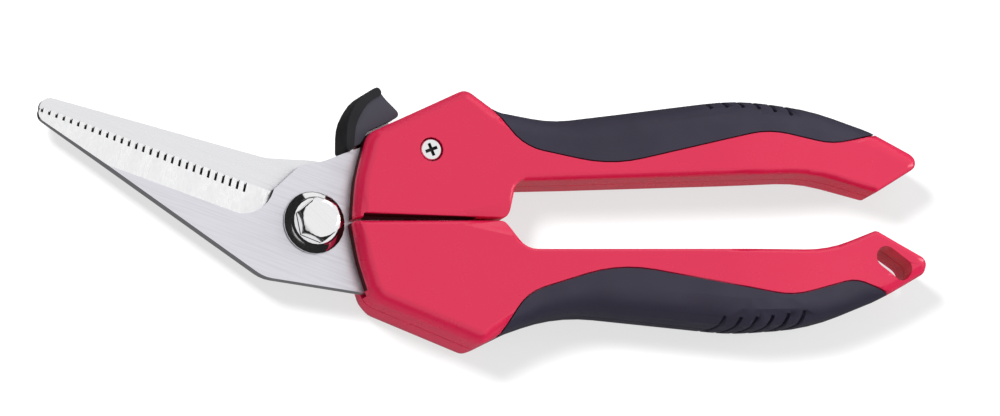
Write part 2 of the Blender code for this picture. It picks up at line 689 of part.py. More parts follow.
def grind(blade, start, end, sign, cutters):
    """Grind a blade's outer face down to its cutting edge, which runs from its tip to its heel.

    The front blade (sign 1) is ground below its edge and the back blade (sign -1) above it. The
    wheel leaves a sloping flat along the edge and a short round shoulder at the heel.
    """
    along = (end - start).normalized()
    inward = sign * Vector((along.y, -along.x))
    over = 2 * GRIND_WIDTH
    slope = (BLADE_THICKNESS - EDGE_THICKNESS) / GRIND_WIDTH
    edge_z = (FIT / 2 + EDGE_THICKNESS) * sign
    high = sign * 2 * over
    mesh = bmesh.new()
    rows = []
    for share in (-over, (end - start).length + over):
        base = start + along * share
        outside = base - inward * over
        inside = base + inward * over
        ring = [
            (*outside, edge_z),
            (*base, edge_z),
            (*inside, edge_z + sign * slope * over),
            (*inside, high),
            (*outside, high),
        ]
        rows.append([mesh.verts.new(place) for place in ring])
    for index in range(len(rows[0])):
        after = (index + 1) % len(rows[0])
        mesh.faces.new((rows[0][index], rows[0][after], rows[1][after], rows[1][index]))
    mesh.faces.new(rows[0])
    mesh.faces.new(rows[1])
    bmesh.ops.recalc_face_normals(mesh, faces=mesh.faces)
    wedge = finish_mesh(blade.name + "_wedge", mesh, cutters)

    corners = [
        (*(start - along * over - inward * over), 0.0),
        (*(start - along * over + inward * 1.02 * GRIND_WIDTH), 0.0),
        (*(end + inward * 1.02 * GRIND_WIDTH), GRIND_WIDTH),
        (*(end - inward * over), 0.0),
    ]
    if sign < 0:
        corners.reverse()
    area = plate(blade.name + "_grind_area", corners, -2 * over, 2 * over, cutters)
    boolean(wedge, "INTERSECT", area)
    boolean(blade, "DIFFERENCE", wedge)


def cut_teeth(blade, start, end, cutters):
    """Narrow slits square to the cutting edge, deeper towards the heel."""
    start = Vector(start)
    along = (Vector(end) - start).normalized()
    inward = Vector((along.y, -along.x))
    turn = math.atan2(along.y, along.x)
    for index in range(TOOTH_COUNT):
        share = index / (TOOTH_COUNT - 1)
        depth = TOOTH_DEPTH_TIP + share * (TOOTH_DEPTH_HEEL - TOOTH_DEPTH_TIP)
        place = start + along * (TOOTH_PITCH * (index + 0.8))
        place += inward * (depth - TOOTH_DEPTH_HEEL) / 2
        slit = box_cutter(
            f"{blade.name}_tooth_{index + 1}",
            (TOOTH_WIDTH, depth + TOOTH_DEPTH_HEEL, 4 * BLADE_THICKNESS), cutters,
        )
        slit.data.transform(Matrix.Translation((*place, 0.0)) @ Matrix.Rotation(turn, 4, "Z"))
        boolean(blade, "DIFFERENCE", slit)


def box_cutter(name, size, cutters):
    mesh = bmesh.new()
    bmesh.ops.create_cube(mesh, size=1.0, matrix=Matrix.Diagonal((*size, 1.0)))
    return finish_mesh(name, mesh, cutters)


def drill(item, diameter, low, high, place, cutters, sides=SMALL_SIDES):
    """A round hole along Z."""
    hole = rod(f"{item.name}_hole_{len(item.modifiers)}", diameter, low, high, cutters,
               place=place, sides=sides)
    boolean(item, "DIFFERENCE", hole)


def make_blades(parts, cutters, materials):
    low = FIT / 2
    high = low + BLADE_THICKNESS
    near_edge = (Vector((-BLADE_REACH, BLADE_TIP_HEIGHT + 0.7 * MM)), Vector((-HEEL_SETBACK, HEEL_HEIGHT)))
    serrated = plate("serrated_blade", near_plate_outline(), low, high, parts)
    grind(serrated, *near_edge, 1, cutters)
    cut_teeth(serrated, *near_edge, cutters)
    far_edge = (
        Vector((-BLADE_REACH + 1.0 * MM, BLADE_TIP_HEIGHT - 1.4 * MM)),
        Vector((-9.0 * MM, HEEL_HEIGHT - 2.0 * MM)),
    )
    plain = plate("plain_blade", far_plate_outline(), -high, -low, parts)
    grind(plain, *far_edge, -1, cutters)
    for blade in (serrated, plain):
        drill(blade, BUSH_DIAMETER + 2 * FIT, -high - MM, high + MM, (0.0, 0.0), cutters, sides=ROUND_SIDES)
        paint(blade, materials["blade_steel"])
    return serrated, plain


def make_pivot(parts, materials):
    """Bolt, bush, washers and nut, stacked along the pivot."""
    face = FIT / 2 + BLADE_THICKNESS
    hole = BOLT_DIAMETER / 2 + FIT
    rim = WASHER_DIAMETER / 2
    nut_rim = NUT_ACROSS_FLATS / math.sqrt(3)

    def washer(name, sign):
        base = face + FIT
        profile = [
            (hole, base + WASHER_HEIGHT),
            (nut_rim + 0.2 * MM, base + WASHER_HEIGHT),
            (nut_rim + 0.5 * MM, base + 0.86 * WASHER_HEIGHT),
            (rim - 1.3 * MM, base + 0.72 * WASHER_HEIGHT),
            (rim - 0.5 * MM, base + 0.50 * WASHER_HEIGHT),
            (rim, base + 0.22 * WASHER_HEIGHT),
            (rim, base),
            (hole, base),
        ]
        if sign < 0:
            profile = [(radius, -z) for radius, z in reversed(profile)]
        return turned(name, profile, parts)

    front = washer("front_washer", 1)
    back = washer("back_washer", -1)
    seat = face + FIT + WASHER_HEIGHT + FIT
    bush = BUSH_DIAMETER / 2
    sleeve = turned("pivot_bush", [
        (hole, face), (bush, face), (bush, -face), (hole, -face),
    ], parts)
    nut = rod("pivot_nut", 2 * nut_rim, seat, seat + NUT_HEIGHT, parts, sides=6, turn=math.radians(8))
    crown(nut, seat, seat + NUT_HEIGHT)
    head = BOLT_HEAD_DIAMETER / 2
    shank = BOLT_DIAMETER / 2
    tip = seat + NUT_HEIGHT - 1.4 * MM
    bolt = turned("pivot_bolt", [
        (0.0, tip), (shank - 0.4 * MM, tip), (shank, tip - 0.4 * MM), (shank, -seat),
        (head, -seat), (head, -seat - 0.6 * BOLT_HEAD_HEIGHT),
        (0.72 * head, -seat - BOLT_HEAD_HEIGHT), (0.0, -seat - BOLT_HEAD_HEIGHT),
    ], parts)
    for item in (front, back, nut, bolt):
        paint(item, materials["chrome"])
    paint(sleeve, materials["blade_steel"])
    return bolt, nut, front, back, sleeve


def crown(nut, low, high):
    """Turn the nut's corners off at the top and bore it for the bolt's end."""
    cutters = bpy.data.collections["cutters"]
    flat = NUT_ACROSS_FLATS / 2
    corner = NUT_ACROSS_FLATS / math.sqrt(3)
    above = high + MM
    envelope = turned("nut_crown", [
        (0.0, above), (flat - 1.4 * MM, above), (flat - 1.4 * MM, high), (flat - 0.2 * MM, high - 0.3 * MM),
        (corner + 0.2 * MM, high - 1.3 * MM), (corner + 0.2 * MM, low - MM), (0.0, low - MM),
    ], cutters)
    boolean(nut, "INTERSECT", envelope)
    depth = high - 1.4 * MM + FIT
    bore = rod("nut_bore", BOLT_DIAMETER + 2 * FIT, low - MM, depth, cutters)
    boolean(nut, "DIFFERENCE", bore)


def make_spring(parts, materials):
    """The return spring: an open coil along Y between the two heads' pockets."""
    curve = bpy.data.curves.new("return_spring", "CURVE")
    curve.dimensions = "3D"
    curve.bevel_depth = SPRING_WIRE / 2
    curve.bevel_resolution = 2
    curve.use_fill_caps = True
    per_turn = 11
    count = SPRING_TURNS * per_turn + 1
    coil = (SPRING_DIAMETER - SPRING_WIRE) / 2
    run = SPRING_LENGTH - SPRING_WIRE
    spline = curve.splines.new("POLY")
    spline.points.add(count - 1)
    for index, point in enumerate(spline.points):
        angle = 2 * math.pi * index / per_turn
        turns = index / per_turn
        closed = 0.75                      # end turns lie nearly flat
        share = (turns - closed) / (SPRING_TURNS - 2 * closed)
        flat = SPRING_WIRE * 1.15 / run
        if turns < closed:
            share = flat * turns / closed
        elif turns > SPRING_TURNS - closed:
            share = 1 - flat * (SPRING_TURNS - turns) / closed
        else:
            share = flat + share * (1 - 2 * flat)
        y = (share - 0.5) * run
        point.co = (SPRING_X + coil * math.cos(angle), y, coil * math.sin(angle), 1.0)
    item = bpy.data.objects.new("return_spring", curve)
    parts.objects.link(item)
    spring = as_mesh(item, parts)
    paint(spring, materials["spring_steel"])
    return spring


def make_lock(parts, cutters, materials):
    """The lock lever, its thumb pad, and the screw, bush and nut that carry it."""
    pivot = (LOCK_X, LOCK_Y)
    layer = FIT / 2 + BLADE_THICKNESS
    lever = plate("lock_lever", lever_outline(), -layer, LOCK_THICKNESS - layer, parts)
    drill(lever, LOCK_BUSH_DIAMETER + 2 * FIT, -layer - MM, MM, pivot, cutters)
    paint(lever, materials["blade_steel"])

    half = PAD_WIDTH / 2
    web = plate("thumb_pad", pad_outline(), PAD_RECESS - half, half - PAD_RECESS, parts)
    flange = plate("pad_flange", pad_flange_outline(), -half, half, cutters)
    boolean(web, "UNION", flange)
    arm = plate("pad_arm_slot", grown(lever_outline(), FIT), -layer - FIT,
                LOCK_THICKNESS - layer + FIT, cutters)
    boolean(web, "DIFFERENCE", arm)
    pad = settle(web)
    soften = pad.modifiers.new("soft edges", "BEVEL")
    soften.width = 0.35 * MM
    soften.segments = 1
    soften.limit_method = "ANGLE"
    soften.angle_limit = math.radians(50)
    paint(pad, materials["pad"])

    hole = SCREW_DIAMETER / 2 + FIT / 2
    sleeve = LOCK_BUSH_DIAMETER / 2
    bush = turned("lock_bush", [
        (hole, -FIT / 2), (sleeve, -FIT / 2), (sleeve, -layer), (hole, -layer),
    ], parts, place=pivot, steps=SMALL_SIDES)
    paint(bush, materials["spring_steel"])
    screw = make_screw("lock_screw", pivot, 1, LOCK_NUT_DEPTH - HANDLE_DEPTH / 2, parts, cutters, materials)
    low = SCREW_SINK - HANDLE_DEPTH / 2
    nut = rod("lock_nut", 2 * LOCK_NUT_FLATS / math.sqrt(3), low, low + LOCK_NUT_HEIGHT, parts,
              place=pivot, sides=6)
    drill(nut, SCREW_DIAMETER + 2 * FIT, low - MM, low + LOCK_NUT_HEIGHT + MM, pivot, cutters)
    paint(nut, materials["chrome"])
    return lever, pad, bush, screw, nut


def pad_outline():
    """Side face of the thumb pad, from its foot on the blade up to its crest."""
    return [
        (LOCK_X - 17.0 * MM, LOCK_Y + 1.0 * MM, 0.8 * MM),
        (LOCK_X - 14.6 * MM, LOCK_Y + 2.2 * MM, 0.8 * MM),
        (LOCK_X - 12.6 * MM, LOCK_Y + 5.0 * MM, 2.0 * MM),
        (LOCK_X - 4.8 * MM, LOCK_Y + 8.4 * MM, 1.0 * MM),
        (LOCK_X - 8.4 * MM, LOCK_Y + 12.2 * MM, 3.0 * MM),
        (LOCK_X - 9.2 * MM, LOCK_Y + 13.4 * MM, 0.8 * MM),
        (LOCK_X - 13.2 * MM, LOCK_Y + 12.2 * MM, 8.0 * MM),
        (LOCK_X - 16.6 * MM, LOCK_Y + 7.0 * MM, 8.0 * MM),
    ]


def pad_flange_outline():
    """The curved rim against which the thumb presses, seen from the side."""
    return [
        (LOCK_X - 18.0 * MM, LOCK_Y + 0.8 * MM, 0.8 * MM),
        (LOCK_X - 16.4 * MM, LOCK_Y + 0.6 * MM, 0.7 * MM),
        (LOCK_X - 15.6 * MM, LOCK_Y + 6.6 * MM, 10.0 * MM),
        (LOCK_X - 12.4 * MM, LOCK_Y + 11.4 * MM, 8.0 * MM),
        (LOCK_X - 9.0 * MM, LOCK_Y + 13.0 * MM, 0.8 * MM),
        (LOCK_X - 9.8 * MM, LOCK_Y + 14.8 * MM, 0.9 * MM),
        (LOCK_X - 13.8 * MM, LOCK_Y + 13.0 * MM, 9.0 * MM),
        (LOCK_X - 17.5 * MM, LOCK_Y + 7.4 * MM, 10.0 * MM),
    ]


def make_screw(name, place, side, end, parts, cutters, materials):
    """A pan-head screw sunk in the front (side 1) or back (side -1) of a handle, up to z = end."""
    top = HANDLE_DEPTH / 2 - SCREW_SINK
    head = SCREW_HEAD_DIAMETER / 2
    shank = SCREW_DIAMETER / 2
    seat = top - SCREW_HEAD_HEIGHT
    profile = [
        (0.0, top), (0.55 * head, top), (0.85 * head, top - 0.25 * SCREW_HEAD_HEIGHT),
        (head, top - 0.55 * SCREW_HEAD_HEIGHT), (head, seat), (shank, seat),
        (shank, side * end + 0.5 * MM), (0.6 * shank, side * end), (0.0, side * end),
    ]
    if side < 0:
        profile = [(radius, -z) for radius, z in reversed(profile)]
    screw = turned(name, profile, parts, place=place, steps=SMALL_SIDES)
    for turn in (45, 135):
        slit = box_cutter(f"{name}_slot_{turn}", (1.3 * head, 0.17 * SCREW_HEAD_DIAMETER,
                                                 2 * SCREW_RECESS), cutters)
        spin = Matrix.Rotation(math.radians(turn), 4, "Z")
        slit.data.transform(Matrix.Translation((*place, side * top)) @ spin)
        boolean(screw, "DIFFERENCE", slit)
    paint(screw, materials["chrome"])
    return screw


def screw_holes(front, back, place, side, end, cutters):
    """Clearance for a screw through the shell under its head and blind in the other one."""
    face = HANDLE_DEPTH / 2
    headed, far = (front, back) if side > 0 else (back, front)
    floor = face - SCREW_SINK - SCREW_HEAD_HEIGHT - FIT
    bore = SCREW_HEAD_DIAMETER + 2 * FIT
    low, high = sorted((side * floor, side * (face + MM)))
    drill(headed, bore, low, high, place, cutters)
    low, high = sorted((side * (floor + MM), -side * MM))
    drill(headed, SCREW_DIAMETER + 2 * FIT, low, high, place, cutters)
    low, high = sorted((side * MM, end - side * FIT))
    drill(far, SCREW_DIAMETER + 2 * FIT, low, high, place, cutters)


def cut_pockets(shells, cutters):
    """Seats for the tangs and room for the spring, the lock, the catch and the two ears."""
    top = FIT / 2 + BLADE_THICKNESS + FIT
    for side, outline, sign in (("upper", near_plate_outline(), 1), ("lower", far_plate_outline(), -1)):
        shell = shells[side, "front" if sign > 0 else "back"]
        low, high = sorted((sign * top, -sign * MM))
        seat = plate(side + "_tang_seat", grown(outline, FIT), low, high, cutters)
        boolean(shell, "DIFFERENCE", seat)

    ear = math.hypot(EAR_X, EAR_Y) + SWING_CLEARANCE
    swing = rod("ear_swing", 2 * ear, -MM, top, cutters, sides=48)
    reach_down = -EAR_Y - SWING_CLEARANCE
    area = plate("ear_swing_area", [
        (-ear, reach_down, 0.0), (2 * ear, reach_down, 0.0), (2 * ear, ear, 0.0), (-ear, ear, 0.0),
    ], -2 * MM, 2 * top, cutters)
    boolean(swing, "INTERSECT", area)
    boolean(shells["lower", "front"], "DIFFERENCE", swing)
    back_swing = rod("back_ear_swing", 2 * BACK_EAR_REACH, -top, MM, cutters, sides=48)
    boolean(shells["upper", "back"], "DIFFERENCE", back_swing)

    seat = SPRING_LENGTH / 2 + FIT
    bore = rod("spring_pocket", SPRING_DIAMETER + 2 * FIT + 0.4 * MM, -seat, seat, cutters)
    bore.data.transform(Matrix.Translation((SPRING_X, 0.0, 0.0)) @ Matrix.Rotation(math.pi / 2, 4, "X"))
    for shell in shells.values():
        boolean(shell, "DIFFERENCE", bore)

    room = [(x, y, 0.0) for x, y, fillet in grown(lever_outline(), SWING_CLEARANCE)]
    for step in range(LOCK_ROOM_STEPS + 1):
        turn = -LOCK_TRAVEL * step / LOCK_ROOM_STEPS
        swept = plate(f"lever_room_{step}", room, -top, MM, cutters)
        turned_about(swept, (LOCK_X, LOCK_Y), turn)
        boolean(shells["upper", "back"], "DIFFERENCE", swept)
    stem = SPRING_X + SPRING_DIAMETER / 2 + FIT + SWING_CLEARANCE
    right = stem + CATCH_WIDTH + CATCH_BARB + 2 * SWING_CLEARANCE
    high = CATCH_HEIGHT + SWING_CLEARANCE
    gate = plate("catch_gate", [
        (stem - SWING_CLEARANCE, -MM, 0.0), (right, -MM, 0.0),
        (right, high, 0.5 * MM), (stem - SWING_CLEARANCE, high, 0.5 * MM),
    ], -top, MM, cutters)
    boolean(shells["upper", "back"], "DIFFERENCE", gate)


def cut_slot(shells, cutters):
    """The lanyard slot through the lower handle's end."""
    half = SLOT_WIDTH / 2
    length = SLOT_LENGTH / 2
    corners = [(-length, -half, half), (length, -half, half), (length, half, half), (-length, half, half)]
    slot = plate("lanyard_slot", corners, -HANDLE_DEPTH, HANDLE_DEPTH, cutters)
    place = Matrix.Translation((HANDLE_REACH - 8.0 * MM, -LOWER_WALL - 3.0 * MM, 0.0))
    slot.data.transform(place @ Matrix.Rotation(math.radians(SLOT_TURN), 4, "Z"))
    for half_name in ("front", "back"):
        boolean(shells["lower", half_name], "DIFFERENCE", slot)


def main():
    for item in list(bpy.data.objects):
        bpy.data.objects.remove(item)
    parts = new_collection("poultry_shears")
    cutters = new_collection("cutters")
    materials = {
        "shell": make_material("red shell plastic", (0.78, 0.03, 0.07), 0.35, 0.0),
        "grip": make_material("charcoal soft grip", (0.03, 0.035, 0.06), 0.7, 0.0),
        "pad": make_material("black pad plastic", (0.02, 0.02, 0.03), 0.5, 0.0),
        "blade_steel": make_material("brushed blade steel", (0.72, 0.72, 0.74), 0.35, 1.0),
        "chrome": make_material("chromed steel", (0.85, 0.85, 0.87), 0.1, 1.0),
        "spring_steel": make_material("spring steel", (0.5, 0.5, 0.52), 0.3, 1.0),
    }
    shells = {}
    grips = {}
    for side in ("upper", "lower"):
        for half in ("front", "back"):
            shells[side, half], grips[side, half] = half_handle(side, half, parts, cutters, materials)
    cut_pockets(shells, cutters)
    cut_slot(shells, cutters)
    serrated, plain = make_blades(parts, cutters, materials)
    pivot = make_pivot(parts, materials)
    spring = make_spring(parts, materials)
    lever, pad, bush, screw, nut = make_lock(parts, cutters, materials)

    lock_place = (LOCK_X, LOCK_Y)
    screw_holes(shells["upper", "front"], shells["upper", "back"], lock_place, 1,
                -HANDLE_DEPTH, cutters)
    drill(serrated, SCREW_DIAMETER + 2 * FIT, -MM, 2 * BLADE_THICKNESS, lock_place, cutters)
    low = SCREW_SINK + LOCK_NUT_HEIGHT + FIT - HANDLE_DEPTH / 2
    pocket = rod("lock_nut_pocket", 2 * (LOCK_NUT_FLATS / math.sqrt(3) + FIT), -HANDLE_DEPTH, low,
                 cutters, place=lock_place, sides=6)
    boolean(shells["upper", "back"], "DIFFERENCE", pocket)

    end = HANDLE_DEPTH / 2 - SCREW_COVER
    screws = []
    for side, places in HANDLE_SCREWS.items():
        for index, place in enumerate(places):
            name = f"{side}_back_screw_{index + 1}"
            screws.append((side, make_screw(name, place, -1, end, parts, cutters, materials)))
            screw_holes(shells[side, "front"], shells[side, "back"], place, -1, end + FIT, cutters)
            blade = serrated if side == "upper" else plain
            if place[0] < TANG_LENGTH:
                layer = 2 * BLADE_THICKNESS
                drill(blade, SCREW_DIAMETER + 2 * FIT, -layer, layer, place, cutters)

    place_parts(parts, cutters, shells, grips, serrated, plain, pivot, spring, (lever, pad),
                (bush, screw, nut), screws)


def place_parts(parts, cutters, shells, grips, serrated, plain, pivot, spring, lever, lock_fixed,
                screws):
    """Parent every piece to the empty on its joint's axis, and stand the shears on z = 0."""
    centre = empty("pivot_centre", parts)
    upper = empty("blade_pivot", parts)
    lock = empty("lock_pivot", parts)
    upper.parent = centre
    lock.parent = upper
    lock.location = (LOCK_X, LOCK_Y, 0.0)
    for (side, half), shell in shells.items():
        owner = upper if side == "upper" else centre
        shell.parent = owner
        grips[side, half].parent = owner
    for item in (plain, spring, *pivot):
        item.parent = centre
    serrated.parent = upper
    for item in lock_fixed:
        item.parent = upper
    for side, screw in screws:
        screw.parent = upper if side == "upper" else centre
    for item in lever:
        item.data.transform(Matrix.Translation((-LOCK_X, -LOCK_Y, 0.0)))
        item.parent = lock
    centre.location = (
        (BLADE_REACH - HANDLE_REACH) / 2,
        (LOWER_SHOULDER - PAD_CREST) / 2,
        HANDLE_DEPTH / 2,
    )
    for cutter in cutters.objects:
        cutter.parent = centre
    for item in parts.objects:
        if item.type == "MESH":
            item.data.shade_smooth()
            item.data.set_sharp_from_angle(angle=math.radians(35))


def empty(name, parts):
    item = bpy.data.objects.new(name, None)
    parts.objects.link(item)
    return item


main()
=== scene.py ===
"""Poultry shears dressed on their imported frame: finishes, fine surfaces, light and camera."""

import math

import bmesh
import bpy
from mathutils import Matrix, Vector
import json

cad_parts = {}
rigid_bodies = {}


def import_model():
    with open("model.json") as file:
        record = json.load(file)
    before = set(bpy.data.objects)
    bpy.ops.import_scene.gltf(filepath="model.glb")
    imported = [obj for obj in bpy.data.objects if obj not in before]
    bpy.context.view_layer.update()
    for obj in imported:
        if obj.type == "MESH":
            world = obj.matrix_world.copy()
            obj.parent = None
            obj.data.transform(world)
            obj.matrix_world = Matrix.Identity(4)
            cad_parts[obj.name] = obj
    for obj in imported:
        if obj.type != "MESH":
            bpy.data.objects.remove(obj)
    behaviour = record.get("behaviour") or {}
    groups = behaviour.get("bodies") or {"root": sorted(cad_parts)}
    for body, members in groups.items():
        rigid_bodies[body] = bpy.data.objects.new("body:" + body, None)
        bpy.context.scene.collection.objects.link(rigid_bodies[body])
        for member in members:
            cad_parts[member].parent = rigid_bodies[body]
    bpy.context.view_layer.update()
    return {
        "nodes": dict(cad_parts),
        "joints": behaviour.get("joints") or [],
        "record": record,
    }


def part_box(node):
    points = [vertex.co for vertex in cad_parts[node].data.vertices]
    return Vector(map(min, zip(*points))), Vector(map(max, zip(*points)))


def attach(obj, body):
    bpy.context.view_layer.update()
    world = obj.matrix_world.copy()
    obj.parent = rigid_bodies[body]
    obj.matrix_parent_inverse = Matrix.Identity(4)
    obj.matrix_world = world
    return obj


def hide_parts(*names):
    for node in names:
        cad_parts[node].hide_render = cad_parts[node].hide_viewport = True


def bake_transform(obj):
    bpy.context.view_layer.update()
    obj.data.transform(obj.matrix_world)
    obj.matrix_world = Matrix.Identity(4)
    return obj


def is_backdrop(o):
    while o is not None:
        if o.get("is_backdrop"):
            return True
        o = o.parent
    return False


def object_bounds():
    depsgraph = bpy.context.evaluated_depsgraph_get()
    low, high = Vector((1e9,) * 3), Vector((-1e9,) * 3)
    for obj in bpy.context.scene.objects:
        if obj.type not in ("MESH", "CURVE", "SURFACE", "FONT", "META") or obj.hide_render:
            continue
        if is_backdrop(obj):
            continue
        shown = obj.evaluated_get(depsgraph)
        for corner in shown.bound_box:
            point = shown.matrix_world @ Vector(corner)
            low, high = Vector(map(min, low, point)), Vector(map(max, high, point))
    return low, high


MM = 0.001

# Camera: a long lens a little to the left of and below the shears, which lie on their back
CAMERA_RIGHT = Vector((0.9443, -0.0622, 0.3231))
CAMERA_UP = Vector((0.0, 0.9820, 0.1890))
CAMERA_TARGET = Vector((4.05, 2.77, 8.5)) * MM
CAMERA_LENS = 650.0
CAMERA_SENSOR = 36.0
CAMERA_CLIP = 12.0                  # metres, well past the shears
VIEW_WIDTH = 217.9 * MM

# The soft light: its brightest side, where it begins and ends, and its two strengths
SKY_SIDE = Vector((0.62, 0.32, 0.70))
SKY_FROM = -0.30
SKY_TO = 0.55
SKY_LOW = 0.34
SKY_HIGH = 0.94

# Lamps: place and size in metres, power in watts
SHADOW_LAMP = ((-0.54, 0.36, 0.82), (0.28, 0.28), 56.0)
RIM_LAMP = ((0.80, 0.12, 0.34), (0.25, 0.60), 2.2)
FACET_LAMP = ((0.44, 0.60, 0.56), (0.30, 0.34), 0.32)

# The floor, and the dark wall that only reflections show
FLOOR_REACH = 3.0
WALL_REACH = 0.50
WALL_HEIGHT = 0.42
WALL_START = 95.0                   # degrees
WALL_SWEEP = 240.0                  # degrees
WALL_STEPS = 24

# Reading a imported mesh: how steep, flat or far along a face's normal points
WELD = 0.002 * MM
FLAT_MERGE = 0.3                    # degrees between faces that become one
CREASE = 32.0                       # degrees past which an edge stays crisp
BLADE_CREASE = 4.0                  # degrees, so that the ground face keeps its border
FLAT = 0.99
BLADE_FLAT = 0.9995
FACING = 0.9
STEEP = 0.5
FACET_LEAN = (0.94, 0.966)
FACET_AREA = 5.0e-6                 # square metres

# The serrated edge, from the pivot's axis
EDGE_TIP = Vector((-60.8, 26.3, 0.0)) * MM
EDGE_HEEL = Vector((-8.6, 7.3, 0.0)) * MM
GROUND_LEAN = 0.85                  # least upright share of the ground face's normal
SLIT_FROM = -0.1 * MM               # the slits' band, inward from the edge
SLIT_REACH = 2.6 * MM
SLIT_INNER = 0.5 * MM               # past this depth every steep face is a slit's wall
# how far in from the edge the painted shade under the serrated blade begins
SHADE_SETBACK = 0.15 * MM
PAD_RIM = 0.3 * MM

# Where painted shade goes: the mouth of the heads and the parting groove, from the pivot
MOUTH_CORNER = Vector((15.0, -15.3, 5.1)) * MM
MOUTH_FACING = -0.6                 # a mouth wall's normal reaches at least this far forward
MOUTH_LEAN = 0.1                    # and leans less than this
RELIEF_LOW = (9.8, 0.0, 4.9)
RELIEF_HIGH = (35.8, 1.15, 10.0)
RELIEF_TAPER = 0.40 * MM
RELIEF_END = 0.1 * MM               # band at the groove's far end that is pulled in

# The return spring
SPRING_WIRE = 1.1 * MM
SPRING_TURNS = 7.0
COIL_STEPS = 40
WIRE_SIDES = 16

# Screws: the head, its chamfer, the shank and the cross
SCREW_RISE = 0.25 * MM
SCREW_HEAD_RADIUS = 2.38 * MM
SCREW_HEAD_HEIGHT = 1.5 * MM
SCREW_CHAMFER = 0.22 * MM
SCREW_SHANK_RADIUS = 1.45 * MM
SCREW_SHANK_START = 1.8 * MM        # of a screw's length above its shank
SCREW_CROSS_LENGTH = 2.9 * MM
SCREW_CROSS_WIDTH = 0.72 * MM
SCREW_CROSS_DEPTH = 0.9 * MM
SCREW_TURN = 0.35                   # radians
SCREW_CREASE = 30.0                 # degrees
HEAD_SIDES = 48
SHANK_SIDES = 24
CROSS_REACH = 0.55                  # share of the cross's length that its painted-shade faces reach
CROSS_TOP = -0.2                    # shares of its depth between which they lie
CROSS_FLOOR = -1.1


def fresh_scene():
    for item in list(bpy.data.objects):
        bpy.data.objects.remove(item)


# Shader groups

def new_group(name, inputs, outputs):
    group = bpy.data.node_groups.new(name, "ShaderNodeTree")
    for label, value in inputs:
        kind = "NodeSocketColor" if isinstance(value, tuple) else "NodeSocketFloat"
        socket = group.interface.new_socket(label, in_out="INPUT", socket_type=kind)
        socket.default_value = value
    for label, kind in outputs:
        group.interface.new_socket(label, in_out="OUTPUT", socket_type=kind)
    entry = group.nodes.new("NodeGroupInput")
    leave = group.nodes.new("NodeGroupOutput")
    return group, entry, leave


def add(tree, kind, **settings):
    node = tree.nodes.new(kind)
    for key, value in settings.items():
        setattr(node, key, value)
    return node


def noise(tree, vector, scale, detail=3.0, roughness=0.5):
    node = add(tree, "ShaderNodeTexNoise")
    node.inputs["Detail"].default_value = detail
    node.inputs["Roughness"].default_value = roughness
    if isinstance(scale, float):
        node.inputs["Scale"].default_value = scale
    else:
        tree.links.new(scale, node.inputs["Scale"])
    tree.links.new(vector, node.inputs["Vector"])
    return node


def ramp(tree, value, low, high, low_out=0.0, high_out=1.0):
    node = add(tree, "ShaderNodeMapRange", interpolation_type="SMOOTHSTEP")
    tree.links.new(value, node.inputs["Value"])
    for label, setting in (("From Min", low), ("From Max", high), ("To Min", low_out), ("To Max", high_out)):
        if isinstance(setting, float):
            node.inputs[label].default_value = setting
        else:
            tree.links.new(setting, node.inputs[label])
    return node.outputs["Result"]


def math_node(tree, operation, first, second):
    node = add(tree, "ShaderNodeMath", operation=operation)
    for socket, value in zip(node.inputs, (first, second)):
        if isinstance(value, float):
            socket.default_value = value
        else:
            tree.links.new(value, socket)
    return node.outputs["Value"]


def mix_colour(tree, factor, first, second, blend="MIX"):
    node = add(tree, "ShaderNodeMix", data_type="RGBA", blend_type=blend)
    for socket, value in ((node.inputs["Factor"], factor), (node.inputs[6], first), (node.inputs[7], second)):
        if isinstance(value, (float, tuple)):
            socket.default_value = value
        else:
            tree.links.new(value, socket)
    return node.outputs[2]


def moulded_grain_group():
    """Fine spark-eroded grain of a moulding, with faint flow clouds in its colour."""
    group, entry, leave = new_group(
        "Moulded Grain",
        [("Colour", (0.5, 0.5, 0.5, 1.0)), ("Cloud Colour", (0.4, 0.4, 0.4, 1.0)), ("Clouds", 0.3),
         ("Grain Scale", 3000.0), ("Roughness", 0.4), ("Roughness Spread", 0.08)],
        [("Colour", "NodeSocketColor"), ("Roughness", "NodeSocketFloat"), ("Height", "NodeSocketFloat")],
    )
    place = add(group, "ShaderNodeTexCoord").outputs["Object"]
    grain = noise(group, place, entry.outputs["Grain Scale"], detail=2.0)
    clouds = noise(group, place, 45.0, detail=4.0)
    smears = noise(group, place, 160.0, detail=5.0)
    cloud_share = math_node(group, "MULTIPLY", ramp(group, clouds.outputs["Fac"], 0.35, 0.7),
                            entry.outputs["Clouds"])
    colour = mix_colour(group, cloud_share, entry.outputs["Colour"], entry.outputs["Cloud Colour"])
    spread = math_node(group, "MULTIPLY", ramp(group, smears.outputs["Fac"], 0.3, 0.7, -1.0, 1.0),
                       entry.outputs["Roughness Spread"])
    roughness = math_node(group, "ADD", entry.outputs["Roughness"], spread)
    group.links.new(colour, leave.inputs["Colour"])
    group.links.new(roughness, leave.inputs["Roughness"])
    group.links.new(grain.outputs["Fac"], leave.inputs["Height"])
    return group


